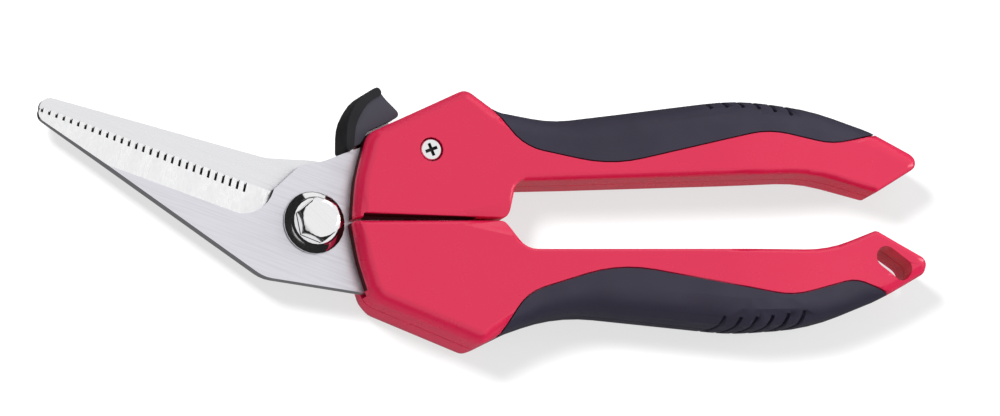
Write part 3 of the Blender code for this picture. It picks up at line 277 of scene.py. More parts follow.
def brushed_group():
    """Long fine lines left by a grinding belt that ran along one direction."""
    group, entry, leave = new_group(
        "Brushed Lines",
        [("Colour", (0.7, 0.7, 0.7, 1.0)), ("Line Colour", (0.6, 0.6, 0.6, 1.0)), ("Turn", 0.0),
         ("Fineness", 2600.0), ("Roughness", 0.3), ("Roughness Spread", 0.08)],
        [("Colour", "NodeSocketColor"), ("Roughness", "NodeSocketFloat"), ("Height", "NodeSocketFloat")],
    )
    place = add(group, "ShaderNodeTexCoord").outputs["Object"]
    turn = add(group, "ShaderNodeVectorRotate", rotation_type="Z_AXIS")
    group.links.new(place, turn.inputs["Vector"])
    group.links.new(entry.outputs["Turn"], turn.inputs["Angle"])
    stretch = add(group, "ShaderNodeVectorMath", operation="MULTIPLY")
    group.links.new(turn.outputs["Vector"], stretch.inputs[0])
    stretch.inputs[1].default_value = (0.025, 1.0, 1.0)
    lines = noise(group, stretch.outputs["Vector"], entry.outputs["Fineness"], detail=3.0, roughness=0.6)
    broad = noise(group, stretch.outputs["Vector"], 420.0, detail=2.0)
    share = ramp(group, lines.outputs["Fac"], 0.35, 0.72)
    colour = mix_colour(group, share, entry.outputs["Colour"], entry.outputs["Line Colour"])
    both = math_node(group, "ADD", ramp(group, lines.outputs["Fac"], 0.3, 0.7, -0.6, 0.6),
                     ramp(group, broad.outputs["Fac"], 0.3, 0.7, -0.4, 0.4))
    spread = math_node(group, "MULTIPLY", both, entry.outputs["Roughness Spread"])
    roughness = math_node(group, "ADD", entry.outputs["Roughness"], spread)
    group.links.new(colour, leave.inputs["Colour"])
    group.links.new(roughness, leave.inputs["Roughness"])
    group.links.new(lines.outputs["Fac"], leave.inputs["Height"])
    return group


def handling_group():
    """Marks of use: sparse hair scratches in all directions, and faint smudges."""
    group, entry, leave = new_group(
        "Handling Marks",
        [("Scratch Scale", 260.0), ("Scratches", 0.5), ("Smudges", 0.4)],
        [("Scratches", "NodeSocketFloat"), ("Smudges", "NodeSocketFloat")],
    )
    place = add(group, "ShaderNodeTexCoord").outputs["Object"]
    marks = None
    for angle in (0.5, 1.9, 2.7):
        turn = add(group, "ShaderNodeVectorRotate", rotation_type="Z_AXIS")
        group.links.new(place, turn.inputs["Vector"])
        turn.inputs["Angle"].default_value = angle
        stretch = add(group, "ShaderNodeVectorMath", operation="MULTIPLY")
        group.links.new(turn.outputs["Vector"], stretch.inputs[0])
        stretch.inputs[1].default_value = (0.06, 1.0, 1.0)
        lines = noise(group, stretch.outputs["Vector"], entry.outputs["Scratch Scale"], detail=6.0,
                      roughness=0.75)
        thin = ramp(group, lines.outputs["Fac"], 0.66, 0.70)
        marks = thin if marks is None else math_node(group, "MAXIMUM", marks, thin)
    scratches = math_node(group, "MULTIPLY", marks, entry.outputs["Scratches"])
    clouds = noise(group, place, 70.0, detail=5.0, roughness=0.65)
    smudges = math_node(group, "MULTIPLY", ramp(group, clouds.outputs["Fac"], 0.48, 0.72),
                        entry.outputs["Smudges"])
    group.links.new(scratches, leave.inputs["Scratches"])
    group.links.new(smudges, leave.inputs["Smudges"])
    return group


def group_node(tree, group, **values):
    node = add(tree, "ShaderNodeGroup")
    node.node_tree = group
    for label, value in values.items():
        node.inputs[label.replace("_", " ")].default_value = value
    return node


def new_material(name, metallic=0.0, **sockets):
    material = bpy.data.materials.new(name)
    material.use_nodes = True
    shader = material.node_tree.nodes["Principled BSDF"]
    shader.inputs["Metallic"].default_value = metallic
    for label, value in sockets.items():
        shader.inputs[label.replace("_", " ")].default_value = value
    return material, material.node_tree, shader


def bump(tree, shader, height, strength, distance):
    node = add(tree, "ShaderNodeBump")
    node.inputs["Strength"].default_value = strength
    node.inputs["Distance"].default_value = distance
    tree.links.new(height, node.inputs["Height"])
    tree.links.new(node.outputs["Normal"], shader.inputs["Normal"])


def moulded_material(name, groups, colour, cloud_colour, clouds, grain_scale, grain_depth, roughness,
                     spread, smudges, **sockets):
    """A moulded plastic or rubber with its grain, its flow clouds and the marks of hands."""
    material, tree, shader = new_material(name, **sockets)
    grain = group_node(tree, groups["grain"], Colour=colour, Cloud_Colour=cloud_colour, Clouds=clouds,
                       Grain_Scale=grain_scale, Roughness=roughness, Roughness_Spread=spread)
    marks = group_node(tree, groups["marks"], Scratches=0.35, Smudges=smudges)
    rough = math_node(tree, "ADD", grain.outputs["Roughness"],
                      math_node(tree, "MULTIPLY", marks.outputs["Smudges"], 0.12))
    tree.links.new(grain.outputs["Colour"], shader.inputs["Base Color"])
    tree.links.new(rough, shader.inputs["Roughness"])
    bump(tree, shader, grain.outputs["Height"], 0.5, grain_depth)
    return material


def brushed_material(name, groups, colour, line_colour, turn, fineness, line_depth, roughness, spread):
    """Ground steel with belt lines along one direction and a few fine scratches."""
    material, tree, shader = new_material(name, metallic=1.0)
    lines = group_node(tree, groups["brushed"], Colour=colour, Line_Colour=line_colour, Turn=turn,
                       Fineness=fineness, Roughness=roughness, Roughness_Spread=spread)
    marks = group_node(tree, groups["marks"], Scratches=0.5, Smudges=0.4)
    tint = mix_colour(tree, math_node(tree, "MULTIPLY", marks.outputs["Scratches"], 0.35),
                      lines.outputs["Colour"], (0.9, 0.9, 0.92, 1.0))
    rough = math_node(tree, "ADD", lines.outputs["Roughness"],
                      math_node(tree, "MULTIPLY", marks.outputs["Smudges"], 0.1))
    tree.links.new(tint, shader.inputs["Base Color"])
    tree.links.new(rough, shader.inputs["Roughness"])
    bump(tree, shader, lines.outputs["Height"], 0.35, line_depth)
    return material


def make_materials():
    groups = {"grain": moulded_grain_group(), "brushed": brushed_group(), "marks": handling_group()}
    return {
        "shell_red": moulded_material(
            "glossy red moulding", groups,
            colour=(0.79, 0.012, 0.080, 1.0), cloud_colour=(0.76, 0.010, 0.070, 1.0),
            clouds=0.3, grain_scale=2400.0, grain_depth=0.002 * MM, roughness=0.26, spread=0.02,
            smudges=0.1),
        "grip_soft": moulded_material(
            "soft charcoal grip", groups,
            colour=(0.026, 0.022, 0.044, 1.0), cloud_colour=(0.036, 0.031, 0.060, 1.0),
            clouds=0.5, grain_scale=4200.0, grain_depth=0.02 * MM, roughness=0.55, spread=0.06,
            smudges=0.4, Specular_IOR_Level=0.36),
        # Painted shade: a dark copy of the red moulding for the parting groove and the heads' mouth walls.
        "parting_dark": moulded_material(
            "shaded parting groove", groups,
            colour=(0.07, 0.006, 0.009, 1.0), cloud_colour=(0.05, 0.004, 0.007, 1.0),
            clouds=0.3, grain_scale=2400.0, grain_depth=0.002 * MM, roughness=0.6, spread=0.02,
            smudges=0.1, Specular_IOR_Level=0.1),
        # Painted shade: the pad rim as a darker copy of its moulding.
        "pad_black": moulded_material(
            "black pad moulding", groups,
            colour=(0.005, 0.005, 0.009, 1.0), cloud_colour=(0.008, 0.008, 0.014, 1.0),
            clouds=0.4, grain_scale=3600.0, grain_depth=0.02 * MM, roughness=0.55, spread=0.08,
            smudges=0.3, Specular_IOR_Level=0.36),
        "pad_side": moulded_material(
            "grey pad side", groups,
            colour=(0.046, 0.044, 0.068, 1.0), cloud_colour=(0.058, 0.055, 0.084, 1.0),
            clouds=0.4, grain_scale=3600.0, grain_depth=0.02 * MM, roughness=0.5, spread=0.06,
            smudges=0.3),
        # Painted shade: the cross recess black instead of plated.
        "cross_black": moulded_material(
            "black cross recess", groups,
            colour=(0.006, 0.006, 0.006, 1.0), cloud_colour=(0.010, 0.010, 0.010, 1.0),
            clouds=0.4, grain_scale=3600.0, grain_depth=0.002 * MM, roughness=0.6, spread=0.05,
            smudges=0.2),
        "blade_flat": brushed_material(
            "satin blade flat", groups,
            colour=(0.74, 0.735, 0.785, 1.0), line_colour=(0.68, 0.675, 0.72, 1.0),
            turn=0.35, fineness=3000.0, line_depth=0.003 * MM, roughness=0.36, spread=0.06),
        "ground_face": brushed_material(
            "ground blade face", groups,
            colour=(0.69, 0.69, 0.695, 1.0), line_colour=(0.665, 0.665, 0.675, 1.0),
            turn=-1.22, fineness=2600.0, line_depth=0.0015 * MM, roughness=0.30, spread=0.06),
        "bright_flat": brushed_material(
            "lapped blade flat", groups,
            colour=(0.82, 0.82, 0.84, 1.0), line_colour=(0.79, 0.79, 0.81, 1.0),
            turn=0.35, fineness=2600.0, line_depth=0.0015 * MM, roughness=0.28, spread=0.05),
        # Painted shade: the plain blade's face under the serrated blade, so that the slits look dark.
        "rubbed_flat": brushed_material(
            "greased rubbing face", groups,
            colour=(0.10, 0.10, 0.105, 1.0), line_colour=(0.06, 0.06, 0.065, 1.0),
            turn=0.35, fineness=2600.0, line_depth=0.002 * MM, roughness=0.45, spread=0.08),
        # Slit walls: dull steel, darkened further with painted shade.
        "slit_wall": brushed_material(
            "dull slit walls", groups,
            colour=(0.06, 0.06, 0.065, 1.0), line_colour=(0.04, 0.04, 0.045, 1.0),
            turn=0.0, fineness=2600.0, line_depth=0.002 * MM, roughness=0.6, spread=0.05),
        "pivot_plating": brushed_material(
            "polished pivot plating", groups,
            colour=(0.90, 0.90, 0.91, 1.0), line_colour=(0.86, 0.86, 0.87, 1.0),
            turn=0.8, fineness=1500.0, line_depth=0.0006 * MM, roughness=0.07, spread=0.02),
        "spring_steel": brushed_material(
            "drawn spring wire", groups,
            colour=(0.50, 0.50, 0.51, 1.0), line_colour=(0.40, 0.40, 0.41, 1.0),
            turn=0.0, fineness=2200.0, line_depth=0.004 * MM, roughness=0.32, spread=0.06),
        "chrome": brushed_material(
            "polished plating", groups,
            colour=(0.86, 0.86, 0.87, 1.0), line_colour=(0.82, 0.82, 0.83, 1.0),
            turn=0.8, fineness=1500.0, line_depth=0.0008 * MM, roughness=0.09, spread=0.03),
    }


# Surfaces

def merged_copy(node, name):
    """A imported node's shape as one welded mesh, its flat faces whole."""
    data = node.data.copy()
    work = bmesh.new()
    work.from_mesh(data)
    bmesh.ops.remove_doubles(work, verts=work.verts, dist=WELD)
    bmesh.ops.dissolve_limit(work, angle_limit=math.radians(FLAT_MERGE), verts=work.verts,
                             edges=work.edges)
    work.to_mesh(data)
    work.free()
    data.materials.clear()
    item = bpy.data.objects.new(name, data)
    bpy.context.scene.collection.objects.link(item)
    return item


def apply_modifiers(item):
    bpy.context.view_layer.update()
    evaluated = item.evaluated_get(bpy.context.evaluated_depsgraph_get())
    data = bpy.data.meshes.new_from_object(evaluated)
    item.modifiers.clear()
    item.data = data
    return item


def is_facet(face):
    """True for the shallow facets along the parting line, which lean by about 17 degrees."""
    return FACET_LEAN[0] < abs(face.normal.z) < FACET_LEAN[1] and face.area > FACET_AREA


def crease_facets(mesh):
    """Keep the facets crisp against the flat faces."""
    facet_edges = set()
    flat_edges = set()
    for face in mesh.polygons:
        if is_facet(face):
            facet_edges.update(face.edge_keys)
        elif abs(face.normal.z) > FLAT:
            flat_edges.update(face.edge_keys)
    for edge in mesh.edges:
        if edge.key in facet_edges and edge.key in flat_edges:
            edge.use_edge_sharp = True


def smooth(item, angle=CREASE, flatness=FLAT):
    """Smooth shading over the roundings, with the flat faces kept flat."""
    item.data.shade_smooth()
    item.data.set_sharp_from_angle(angle=math.radians(angle))
    crease_facets(item.data)
    step = item.modifiers.new("flat faces first", "WEIGHTED_NORMAL")
    step.mode = "FACE_AREA"
    step.weight = 100
    step.keep_sharp = True
    apply_modifiers(item)
    return settle_flats(item, flatness, math.cos(math.radians(angle)))


def settle_flats(item, flatness, blend):
    """Let the front and back faces alone decide the shading at their rims."""
    mesh = item.data
    wide = {}
    for face in mesh.polygons:
        if abs(face.normal.z) > flatness:
            for vertex in face.vertices:
                wide.setdefault(vertex, Vector())
                wide[vertex] += face.normal * face.area
    normals = [Vector(corner.vector) for corner in mesh.corner_normals]
    for face in mesh.polygons:
        if is_facet(face):
            continue
        for loop in face.loop_indices:
            flat = wide.get(mesh.loops[loop].vertex_index)
            if flat is not None and face.normal.dot(flat.normalized()) > blend:
                normals[loop] = flat.normalized()
    mesh.normals_split_custom_set(normals)
    return item


def baked(name, tree, sizes, points=()):
    """One plain mesh made by a Geometry Nodes tree with these sizes, from these points."""
    start = bpy.data.meshes.new(name)
    start.from_pydata(list(points), [], [])
    item = bpy.data.objects.new(name, start)
    bpy.context.scene.collection.objects.link(item)
    step = item.modifiers.new("shape", "NODES")
    step.node_group = tree
    for socket in tree.interface.items_tree:
        if socket.item_type == "SOCKET" and socket.in_out == "INPUT" and socket.name in sizes:
            step[socket.identifier] = sizes[socket.name]
    apply_modifiers(item)
    item.data.shade_smooth()
    return item


def shape_tree(name, inputs):
    """An empty Geometry Nodes tree with its named sizes."""
    tree = bpy.data.node_groups.new(name, "GeometryNodeTree")
    for label, kind in inputs:
        tree.interface.new_socket(label, in_out="INPUT", socket_type=kind)
    tree.interface.new_socket("Geometry", in_out="OUTPUT", socket_type="NodeSocketGeometry")
    return tree, tree.nodes.new("NodeGroupInput"), tree.nodes.new("NodeGroupOutput")


def close_tree(tree, geometry, leave, material):
    """The end of every shape tree: real copies, one material, out."""
    real = add(tree, "GeometryNodeRealizeInstances")
    tree.links.new(geometry, real.inputs[0])
    painted = add(tree, "GeometryNodeSetMaterial")
    painted.inputs["Material"].default_value = material
    tree.links.new(real.outputs[0], painted.inputs["Geometry"])
    tree.links.new(painted.outputs[0], leave.inputs["Geometry"])


def coil_tree(material):
    """A round wire swept along a spiral that runs along Y."""
    tree, entry, leave = shape_tree("Coil Spring", [
        ("Turns", "NodeSocketFloat"), ("Coil Radius", "NodeSocketFloat"), ("Length", "NodeSocketFloat"),
        ("Wire Radius", "NodeSocketFloat"), ("Place", "NodeSocketVector")])
    spiral = add(tree, "GeometryNodeCurveSpiral")
    spiral.inputs["Resolution"].default_value = COIL_STEPS
    tree.links.new(entry.outputs["Turns"], spiral.inputs["Rotations"])
    tree.links.new(entry.outputs["Coil Radius"], spiral.inputs["Start Radius"])
    tree.links.new(entry.outputs["Coil Radius"], spiral.inputs["End Radius"])
    tree.links.new(entry.outputs["Length"], spiral.inputs["Height"])
    wire = add(tree, "GeometryNodeCurvePrimitiveCircle")
    wire.inputs["Resolution"].default_value = WIRE_SIDES
    tree.links.new(entry.outputs["Wire Radius"], wire.inputs["Radius"])
    sweep = add(tree, "GeometryNodeCurveToMesh")
    sweep.inputs["Fill Caps"].default_value = True
    tree.links.new(spiral.outputs["Curve"], sweep.inputs["Curve"])
    tree.links.new(wire.outputs["Curve"], sweep.inputs["Profile Curve"])
    turn = add(tree, "GeometryNodeTransform")
    turn.inputs["Rotation"].default_value = (-math.pi / 2, 0.0, 0.0)
    tree.links.new(sweep.outputs["Mesh"], turn.inputs["Geometry"])
    tree.links.new(entry.outputs["Place"], turn.inputs["Translation"])
    close_tree(tree, turn.outputs["Geometry"], leave, material)
    return tree


def screw_tree(chrome, black):
    """Cross-recessed screws, one on each point, all turned the same way about X, each cross in painted shade.
    """
    tree, entry, leave = shape_tree("Cross Screws", [
        ("Points", "NodeSocketGeometry"), ("Head Radius", "NodeSocketFloat"),
        ("Head Height", "NodeSocketFloat"), ("Chamfer", "NodeSocketFloat"),
        ("Shank Radius", "NodeSocketFloat"), ("Shank Length", "NodeSocketFloat"),
        ("Cross Length", "NodeSocketFloat"), ("Cross Width", "NodeSocketFloat"),
        ("Cross Depth", "NodeSocketFloat"), ("Facing", "NodeSocketVector")])

    def size(name):
        return entry.outputs[name]

    def times(value, factor):
        return math_node(tree, "MULTIPLY", value, factor)

    def turned(radius_low, radius_high, depth, low, sides):
        shape = add(tree, "GeometryNodeMeshCone")
        shape.inputs["Vertices"].default_value = sides
        tree.links.new(radius_low, shape.inputs["Radius Bottom"])
        tree.links.new(radius_high, shape.inputs["Radius Top"])
        tree.links.new(depth, shape.inputs["Depth"])
        return moved(shape.outputs["Mesh"], low)

    def moved(mesh, height):
        up = add(tree, "ShaderNodeCombineXYZ")
        tree.links.new(height, up.inputs["Z"])
        place = add(tree, "GeometryNodeTransform")
        tree.links.new(mesh, place.inputs["Geometry"])
        tree.links.new(up.outputs["Vector"], place.inputs["Translation"])
        return place.outputs["Geometry"]

    def arm(first, second):
        block = add(tree, "GeometryNodeMeshCube")
        extent = add(tree, "ShaderNodeCombineXYZ")
        tree.links.new(size(first), extent.inputs["X"])
        tree.links.new(size(second), extent.inputs["Y"])
        tree.links.new(times(size("Cross Depth"), 2.0), extent.inputs["Z"])
        tree.links.new(extent.outputs["Vector"], block.inputs["Size"])
        return block.outputs["Mesh"]

    def joined(operation, first, others):
        step = add(tree, "GeometryNodeMeshBoolean", operation=operation, solver="EXACT")
        if operation == "DIFFERENCE":
            tree.links.new(first, step.inputs["Mesh 1"])
        else:
            others = [first, *others]
        for mesh in others:
            tree.links.new(mesh, step.inputs["Mesh 2"])
        return step.outputs["Mesh"]

    radius = size("Head Radius")
    top = math_node(tree, "SUBTRACT", radius, size("Chamfer"))
    down = times(math_node(tree, "ADD", size("Head Height"), size("Chamfer")), -1.0)
    cap = turned(radius, top, size("Chamfer"), times(size("Chamfer"), -1.0), HEAD_SIDES)
    side = turned(radius, radius, size("Head Height"), down, HEAD_SIDES)
    shank = turned(size("Shank Radius"), size("Shank Radius"), size("Shank Length"),
                   math_node(tree, "SUBTRACT", down, size("Shank Length")), SHANK_SIDES)
    parts = add(tree, "GeometryNodeJoinGeometry")
    for mesh in (shank, side, cap):
        tree.links.new(mesh, parts.inputs["Geometry"])
    cut = joined("DIFFERENCE", parts.outputs["Geometry"],
                 [joined("UNION", arm("Cross Length", "Cross Width"), [arm("Cross Width", "Cross Length")])])
    place = add(tree, "GeometryNodeInputPosition").outputs["Position"]
    apart = add(tree, "ShaderNodeSeparateXYZ")
    tree.links.new(place, apart.inputs["Vector"])
    flat = add(tree, "ShaderNodeCombineXYZ")
    tree.links.new(apart.outputs["X"], flat.inputs["X"])
    tree.links.new(apart.outputs["Y"], flat.inputs["Y"])
    away = add(tree, "ShaderNodeVectorMath", operation="LENGTH")
    tree.links.new(flat.outputs["Vector"], away.inputs[0])
    # Faces inside the cross are marked for painted shade.
    inner = math_node(tree, "LESS_THAN", away.outputs["Value"], times(size("Cross Length"), CROSS_REACH))
    below = math_node(tree, "LESS_THAN", apart.outputs["Z"], times(size("Cross Depth"), CROSS_TOP))
    above = math_node(tree, "GREATER_THAN", apart.outputs["Z"], times(size("Cross Depth"), CROSS_FLOOR))
    mark = add(tree, "GeometryNodeStoreNamedAttribute", data_type="BOOLEAN", domain="FACE")
    mark.inputs["Name"].default_value = "cross"
    tree.links.new(cut, mark.inputs["Geometry"])
    tree.links.new(math_node(tree, "MULTIPLY", inner, math_node(tree, "MULTIPLY", below, above)),
                   mark.inputs["Value"])
    copies = add(tree, "GeometryNodeInstanceOnPoints")
    tree.links.new(size("Points"), copies.inputs["Points"])
    tree.links.new(mark.outputs["Geometry"], copies.inputs["Instance"])
    facing = add(tree, "FunctionNodeEulerToRotation")
    tree.links.new(size("Facing"), facing.inputs["Euler"])
    tree.links.new(facing.outputs["Rotation"], copies.inputs["Rotation"])
    real = add(tree, "GeometryNodeRealizeInstances")
    tree.links.new(copies.outputs["Instances"], real.inputs[0])
    plated = add(tree, "GeometryNodeSetMaterial")
    plated.inputs["Material"].default_value = chrome
    tree.links.new(real.outputs[0], plated.inputs["Geometry"])
    marked = add(tree, "GeometryNodeInputNamedAttribute", data_type="BOOLEAN")
    marked.inputs["Name"].default_value = "cross"
    recess_shaded = add(tree, "GeometryNodeSetMaterial")
    recess_shaded.inputs["Material"].default_value = black
    tree.links.new(marked.outputs["Attribute"], recess_shaded.inputs["Selection"])
    tree.links.new(plated.outputs["Geometry"], recess_shaded.inputs["Geometry"])
    tree.links.new(recess_shaded.outputs["Geometry"], leave.inputs["Geometry"])
    return tree


def make_screws(frame, materials):
    """The lock screw in front and the handle screws at the back, from one tree.

    The screws of one piece share one shank length.
    """
    tree = screw_tree(materials["chrome"], materials["cross_black"])
    bodies = body_table(frame)
    groups = {}
    for name in frame["nodes"]:
        if name == "lock_screw" or "_back_screw_" in name:
            groups.setdefault((bodies[name], name == "lock_screw"), []).append(name)
    for (body, front), names in groups.items():
        points = []
        for name in names:
            low, high = (Vector(corner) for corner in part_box(name))
            length = high.z - low.z
            centre = (low + high) / 2
            points.append((centre.x, centre.y, high.z + SCREW_RISE if front else low.z - SCREW_RISE))
        sizes = {"Head Radius": SCREW_HEAD_RADIUS, "Head Height": SCREW_HEAD_HEIGHT,
                 "Chamfer": SCREW_CHAMFER, "Shank Radius": SCREW_SHANK_RADIUS,
                 "Shank Length": length - SCREW_SHANK_START, "Cross Length": SCREW_CROSS_LENGTH,
                 "Cross Width": SCREW_CROSS_WIDTH, "Cross Depth": SCREW_CROSS_DEPTH,
                 "Facing": (0.0 if front else math.pi, 0.0, SCREW_TURN)}
        piece = baked(body + ("_lock_screw" if front else "_handle_screws"), tree, sizes, points)
        piece.data.set_sharp_from_angle(angle=math.radians(SCREW_CREASE))
        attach(piece, body)
        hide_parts(*names)


def make_spring(materials):
    """The return spring as a smooth coil."""
    low, high = (Vector(corner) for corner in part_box("return_spring"))
    middle = (low + high) / 2
    outer = (high.x - low.x) / 2
    sizes = {"Turns": SPRING_TURNS, "Coil Radius": outer - SPRING_WIRE / 2,
             "Length": high.y - low.y - SPRING_WIRE, "Wire Radius": SPRING_WIRE / 2,
             "Place": (middle.x, low.y + SPRING_WIRE / 2, middle.z)}
    coil = baked("return_spring_fine", coil_tree(materials["spring_steel"]), sizes)
    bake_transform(coil)
    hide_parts("return_spring")


def paint_blade(piece, materials, pivot):
    """Satin flats, a brighter ground face along the edge, and dull walls in the slits, darkened with painted
    shade.
    """
    for label in ("blade_flat", "ground_face", "slit_wall"):
        piece.data.materials.append(materials[label])
    tip = pivot + EDGE_TIP
    heel = pivot + EDGE_HEEL
    along = (heel - tip).normalized()
    inward = Vector((along.y, -along.x, 0.0))
    for face in piece.data.polygons:
        place = face.center - tip
        within = 0.0 < place.dot(along) < (heel - tip).length
        depth = place.dot(inward)
        if GROUND_LEAN < face.normal.z < BLADE_FLAT:
            face.material_index = 1
        # Slit walls get dull steel darkened with painted shade.
        elif abs(face.normal.z) < STEEP and within and SLIT_FROM < depth < SLIT_REACH:
            if abs(face.normal.dot(along)) > FACING or depth > SLIT_INNER:
                face.material_index = 2


def paint_shade_under_blade(piece, materials, pivot):
    """The plain blade is bright where it shows, with painted shade where the serrated blade covers it."""
    along = (EDGE_HEEL - EDGE_TIP).normalized()
    inward = Vector((along.y, -along.x, 0.0))
    piece.data.materials.append(materials["bright_flat"])
    piece.data.materials.append(materials["rubbed_flat"])
    work = bmesh.new()
    work.from_mesh(piece.data)
    every = work.verts[:] + work.edges[:] + work.faces[:]
    line = pivot + EDGE_TIP + inward * SHADE_SETBACK
    bmesh.ops.bisect_plane(work, geom=every, plane_co=line, plane_no=inward)
    for face in work.faces:
        inside = (face.calc_center_median() - line).dot(inward) > 0.0
        # Painted shade on the face that the serrated blade covers.
        face.material_index = 1 if inside and face.normal.z > FACING else 0
    work.to_mesh(piece.data)
    work.free()


def paint_pad(piece, materials):
    """The pad's rim in painted shade, a darker copy of the moulding round its grey side faces."""
    piece.data.materials.append(materials["pad_black"])
    piece.data.materials.append(materials["pad_side"])
    top = max(vertex.co.z for vertex in piece.data.vertices)
    low = min(vertex.co.z for vertex in piece.data.vertices)
    for face in piece.data.polygons:
        edge = min(top - face.center.z, face.center.z - low)
        # Only the grey side faces change; the rest of the pad stays in painted shade.
        if abs(face.normal.z) > FACING and edge > PAD_RIM:
            face.material_index = 1


def paint_mouth(piece, shade, pivot):
    """Painted shade on the head's front wall where the blades come out of it."""
    piece.data.materials.append(shade)
    corner = pivot + MOUTH_CORNER
    work = bmesh.new()
    work.from_mesh(piece.data)
    for across in ((0.0, 0.0, 1.0), (0.0, 1.0, 0.0)):
        every = work.verts[:] + work.edges[:] + work.faces[:]
        bmesh.ops.bisect_plane(work, geom=every, plane_co=corner, plane_no=across)
    for face in work.faces:
        middle = face.calc_center_median() - corner
        upright = face.normal.x < MOUTH_FACING and abs(face.normal.z) < MOUTH_LEAN
        # These mouth faces get painted shade.
        if upright and middle.x < 0.0 < middle.y and middle.z < 0.0:
            face.material_index = len(piece.data.materials) - 1
    work.to_mesh(piece.data)
    work.free()


def cut_relief(piece, shade, pivot):
    """A groove along the parting line, cut in the upper head's edge, its faces in painted shade."""
    low, high = Vector(RELIEF_LOW) * MM, Vector(RELIEF_HIGH) * MM
    mesh = bmesh.new()
    bmesh.ops.create_cube(mesh, size=1.0, matrix=Matrix.Translation(pivot + (low + high) / 2)
                          @ Matrix.Diagonal((*(high - low), 1.0)))
    far_end = [vertex for vertex in mesh.verts if vertex.co.x > pivot.x + high.x - RELIEF_END]
    for vertex in far_end:
        vertex.co.y = min(vertex.co.y, pivot.y + RELIEF_TAPER)
    data = bpy.data.meshes.new("relief")
    mesh.to_mesh(data)
    mesh.free()
    data.materials.append(shade)
    tool = bpy.data.objects.new("relief", data)
    bpy.context.scene.collection.objects.link(tool)
    step = piece.modifiers.new("relief", "BOOLEAN")
    step.operation = "DIFFERENCE"
    step.solver = "EXACT"
    step.object = tool
    step.material_mode = "TRANSFER"
    apply_modifiers(piece)
    bpy.data.objects.remove(tool)


def body_table(frame):
    table = {}
    for body, members in frame["record"]["behaviour"]["bodies"].items():
        for member in members:
            table[member] = body
    return table


def dress_nodes(frame, materials, pivot):
    """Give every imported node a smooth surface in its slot's finish."""
    bodies = body_table(frame)
    for row in frame["record"]["subparts"]:
        name = row["node"]
        finish = row["material_slot"]
        if name in ("return_spring", "lock_screw") or "_back_screw_" in name:
            continue
        piece = merged_copy(frame["nodes"][name], name + "_fine")
        if name == "serrated_blade":
            paint_blade(piece, materials, pivot)
        elif name == "plain_blade":
            paint_shade_under_blade(piece, materials, pivot)
        elif name == "thumb_pad":
            paint_pad(piece, materials)
        elif name in ("pivot_nut", "front_washer"):
            piece.data.materials.append(materials["pivot_plating"])
        elif finish == "blade_steel":
            piece.data.materials.append(materials["blade_flat"])
        else:
            piece.data.materials.append(materials[finish])
        if name in ("upper_front_shell", "lower_front_shell"):
            # Painted shade on the mouth walls, and in the parting groove of the upper head.
            paint_mouth(piece, materials["parting_dark"], pivot)
        if name == "upper_front_shell":
            cut_relief(piece, materials["parting_dark"], pivot)
        if name in ("serrated_blade", "plain_blade"):
            smooth(piece, BLADE_CREASE, BLADE_FLAT)
        else:
            smooth(piece)
        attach(piece, bodies[name])
        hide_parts(name)


# Surroundings

def paper_material(name, shade, glow, mirrored, bounced):
    """White paper that takes soft shadows and lights what lies on it less than it shows."""
    material = bpy.data.materials.new(name)
    material.use_nodes = True
    tree = material.node_tree
    tree.nodes.clear()
    leave = add(tree, "ShaderNodeOutputMaterial")
    path = add(tree, "ShaderNodeLightPath")
    glossy = path.outputs["Is Glossy Ray"]
    diffuse = add(tree, "ShaderNodeBsdfDiffuse")
    tree.links.new(mix_colour(tree, glossy, (shade, shade, shade, 1.0), (0.0, 0.0, 0.0, 1.0)),
                   diffuse.inputs["Color"])
    emission = add(tree, "ShaderNodeEmission")
    seen = math_node(tree, "MAXIMUM", path.outputs["Is Camera Ray"], path.outputs["Is Transmission Ray"])
    strength = math_node(tree, "ADD", math_node(tree, "MULTIPLY", seen, glow),
                         math_node(tree, "MULTIPLY", glossy, mirrored))
    below = math_node(tree, "MULTIPLY", path.outputs["Is Diffuse Ray"], bounced)
    tree.links.new(math_node(tree, "ADD", strength, below), emission.inputs["Strength"])
    both = add(tree, "ShaderNodeAddShader")
    tree.links.new(diffuse.outputs["BSDF"], both.inputs[0])
    tree.links.new(emission.outputs["Emission"], both.inputs[1])
    tree.links.new(both.outputs["Shader"], leave.inputs["Surface"])
    return material


def make_floor():
    mesh = bmesh.new()
    bmesh.ops.create_grid(mesh, x_segments=1, y_segments=1, size=FLOOR_REACH)
    data = bpy.data.meshes.new("floor")
    mesh.to_mesh(data)
    mesh.free()
    floor = bpy.data.objects.new("floor", data)
    bpy.context.scene.collection.objects.link(floor)
    data.materials.append(paper_material("white paper", shade=0.13, glow=0.68, mirrored=0.18, bounced=0.56))
    floor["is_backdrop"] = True
    return floor


def area_light(name, place, size, power):
    """A soft lamp that looks at the shears from that place."""
    data = bpy.data.lights.new(name, "AREA")
    data.shape = "RECTANGLE"
    data.size, data.size_y = size
    data.energy = power
    lamp = bpy.data.objects.new(name, data)
    bpy.context.scene.collection.objects.link(lamp)
    lamp.location = place
    lamp.rotation_euler = (-Vector(place)).to_track_quat("-Z", "Y").to_euler()
    return lamp


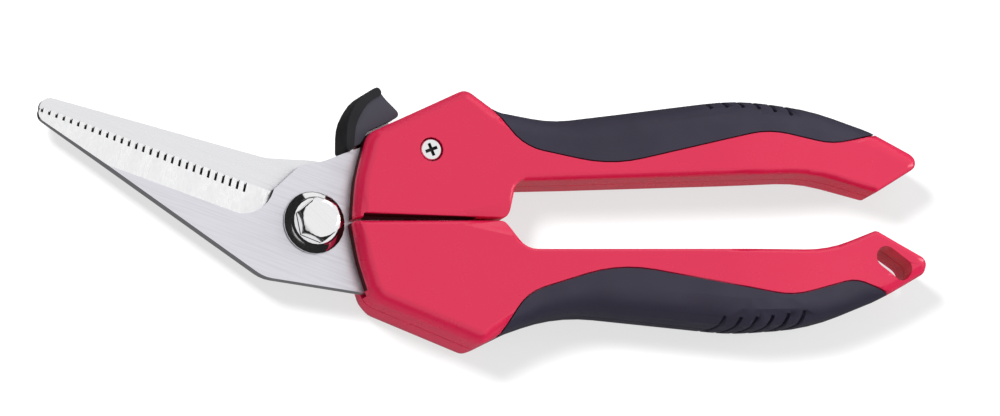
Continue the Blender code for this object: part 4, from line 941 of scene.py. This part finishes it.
def dark_surround():
    """A low black wall round three sides that shows only as a reflection."""
    mesh = bmesh.new()
    low = []
    high = []
    for step in range(WALL_STEPS + 1):
        angle = math.radians(WALL_START + WALL_SWEEP * step / WALL_STEPS)
        reach = Vector((math.cos(angle), math.sin(angle), 0.0)) * WALL_REACH
        low.append(mesh.verts.new(reach))
        high.append(mesh.verts.new(reach + Vector((0.0, 0.0, WALL_HEIGHT))))
    for step in range(WALL_STEPS):
        mesh.faces.new((low[step], low[step + 1], high[step + 1], high[step]))
    data = bpy.data.meshes.new("dark surround")
    mesh.to_mesh(data)
    mesh.free()
    wall = bpy.data.objects.new("dark surround", data)
    bpy.context.scene.collection.objects.link(wall)
    wall.visible_camera = False
    wall.visible_diffuse = False
    wall.visible_shadow = False
    wall.visible_transmission = False
    data.materials.append(new_material("black felt", Base_Color=(0.01, 0.01, 0.01, 1.0), Roughness=1.0)[0])
    wall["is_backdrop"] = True


def make_lights(floor):
    """A wide soft light, a lamp for the floor's shadow alone, two small lamps and the dark wall."""
    world = bpy.data.worlds.new("studio")
    bpy.context.scene.world = world
    world.use_nodes = True
    tree = world.node_tree
    sky = tree.nodes["Background"]
    sky.inputs["Color"].default_value = (1.0, 1.0, 1.0, 1.0)
    place = add(tree, "ShaderNodeTexCoord").outputs["Generated"]
    direction = add(tree, "ShaderNodeVectorMath", operation="DOT_PRODUCT")
    tree.links.new(place, direction.inputs[0])
    direction.inputs[1].default_value = SKY_SIDE.normalized()
    glow = ramp(tree, direction.outputs["Value"], SKY_FROM, SKY_TO, SKY_LOW, SKY_HIGH)
    tree.links.new(glow, sky.inputs["Strength"])
    key = area_light("shadow lamp", *SHADOW_LAMP)
    only = bpy.data.collections.new("floor alone")
    only.objects.link(floor)
    key.light_linking.receiver_collection = only
    area_light("rim lamp", *RIM_LAMP)
    area_light("facet lamp", *FACET_LAMP)
    dark_surround()


def make_camera():
    outward = CAMERA_RIGHT.cross(CAMERA_UP).normalized()
    data = bpy.data.cameras.new("camera")
    data.lens = CAMERA_LENS
    data.sensor_width = CAMERA_SENSOR
    distance = VIEW_WIDTH * CAMERA_LENS / CAMERA_SENSOR
    camera = bpy.data.objects.new("camera", data)
    bpy.context.scene.collection.objects.link(camera)
    turn = Matrix((CAMERA_RIGHT.normalized(), CAMERA_UP.normalized(), outward)).transposed()
    camera.matrix_world = Matrix.Translation(CAMERA_TARGET + outward * distance) @ turn.to_4x4()
    data.clip_end = CAMERA_CLIP
    bpy.context.scene.camera = camera


def write_sizes(after):
    import json


fresh_scene()
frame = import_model()
bpy.context.scene.view_settings.view_transform = "Standard"
MATERIALS = make_materials()
PIVOT = Vector(next(joint["pos_m"] for joint in frame["joints"] if joint["name"] == "blade_pivot"))
dress_nodes(frame, MATERIALS, PIVOT)
make_spring(MATERIALS)
make_screws(frame, MATERIALS)
make_lights(make_floor())
make_camera()
write_sizes(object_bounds())
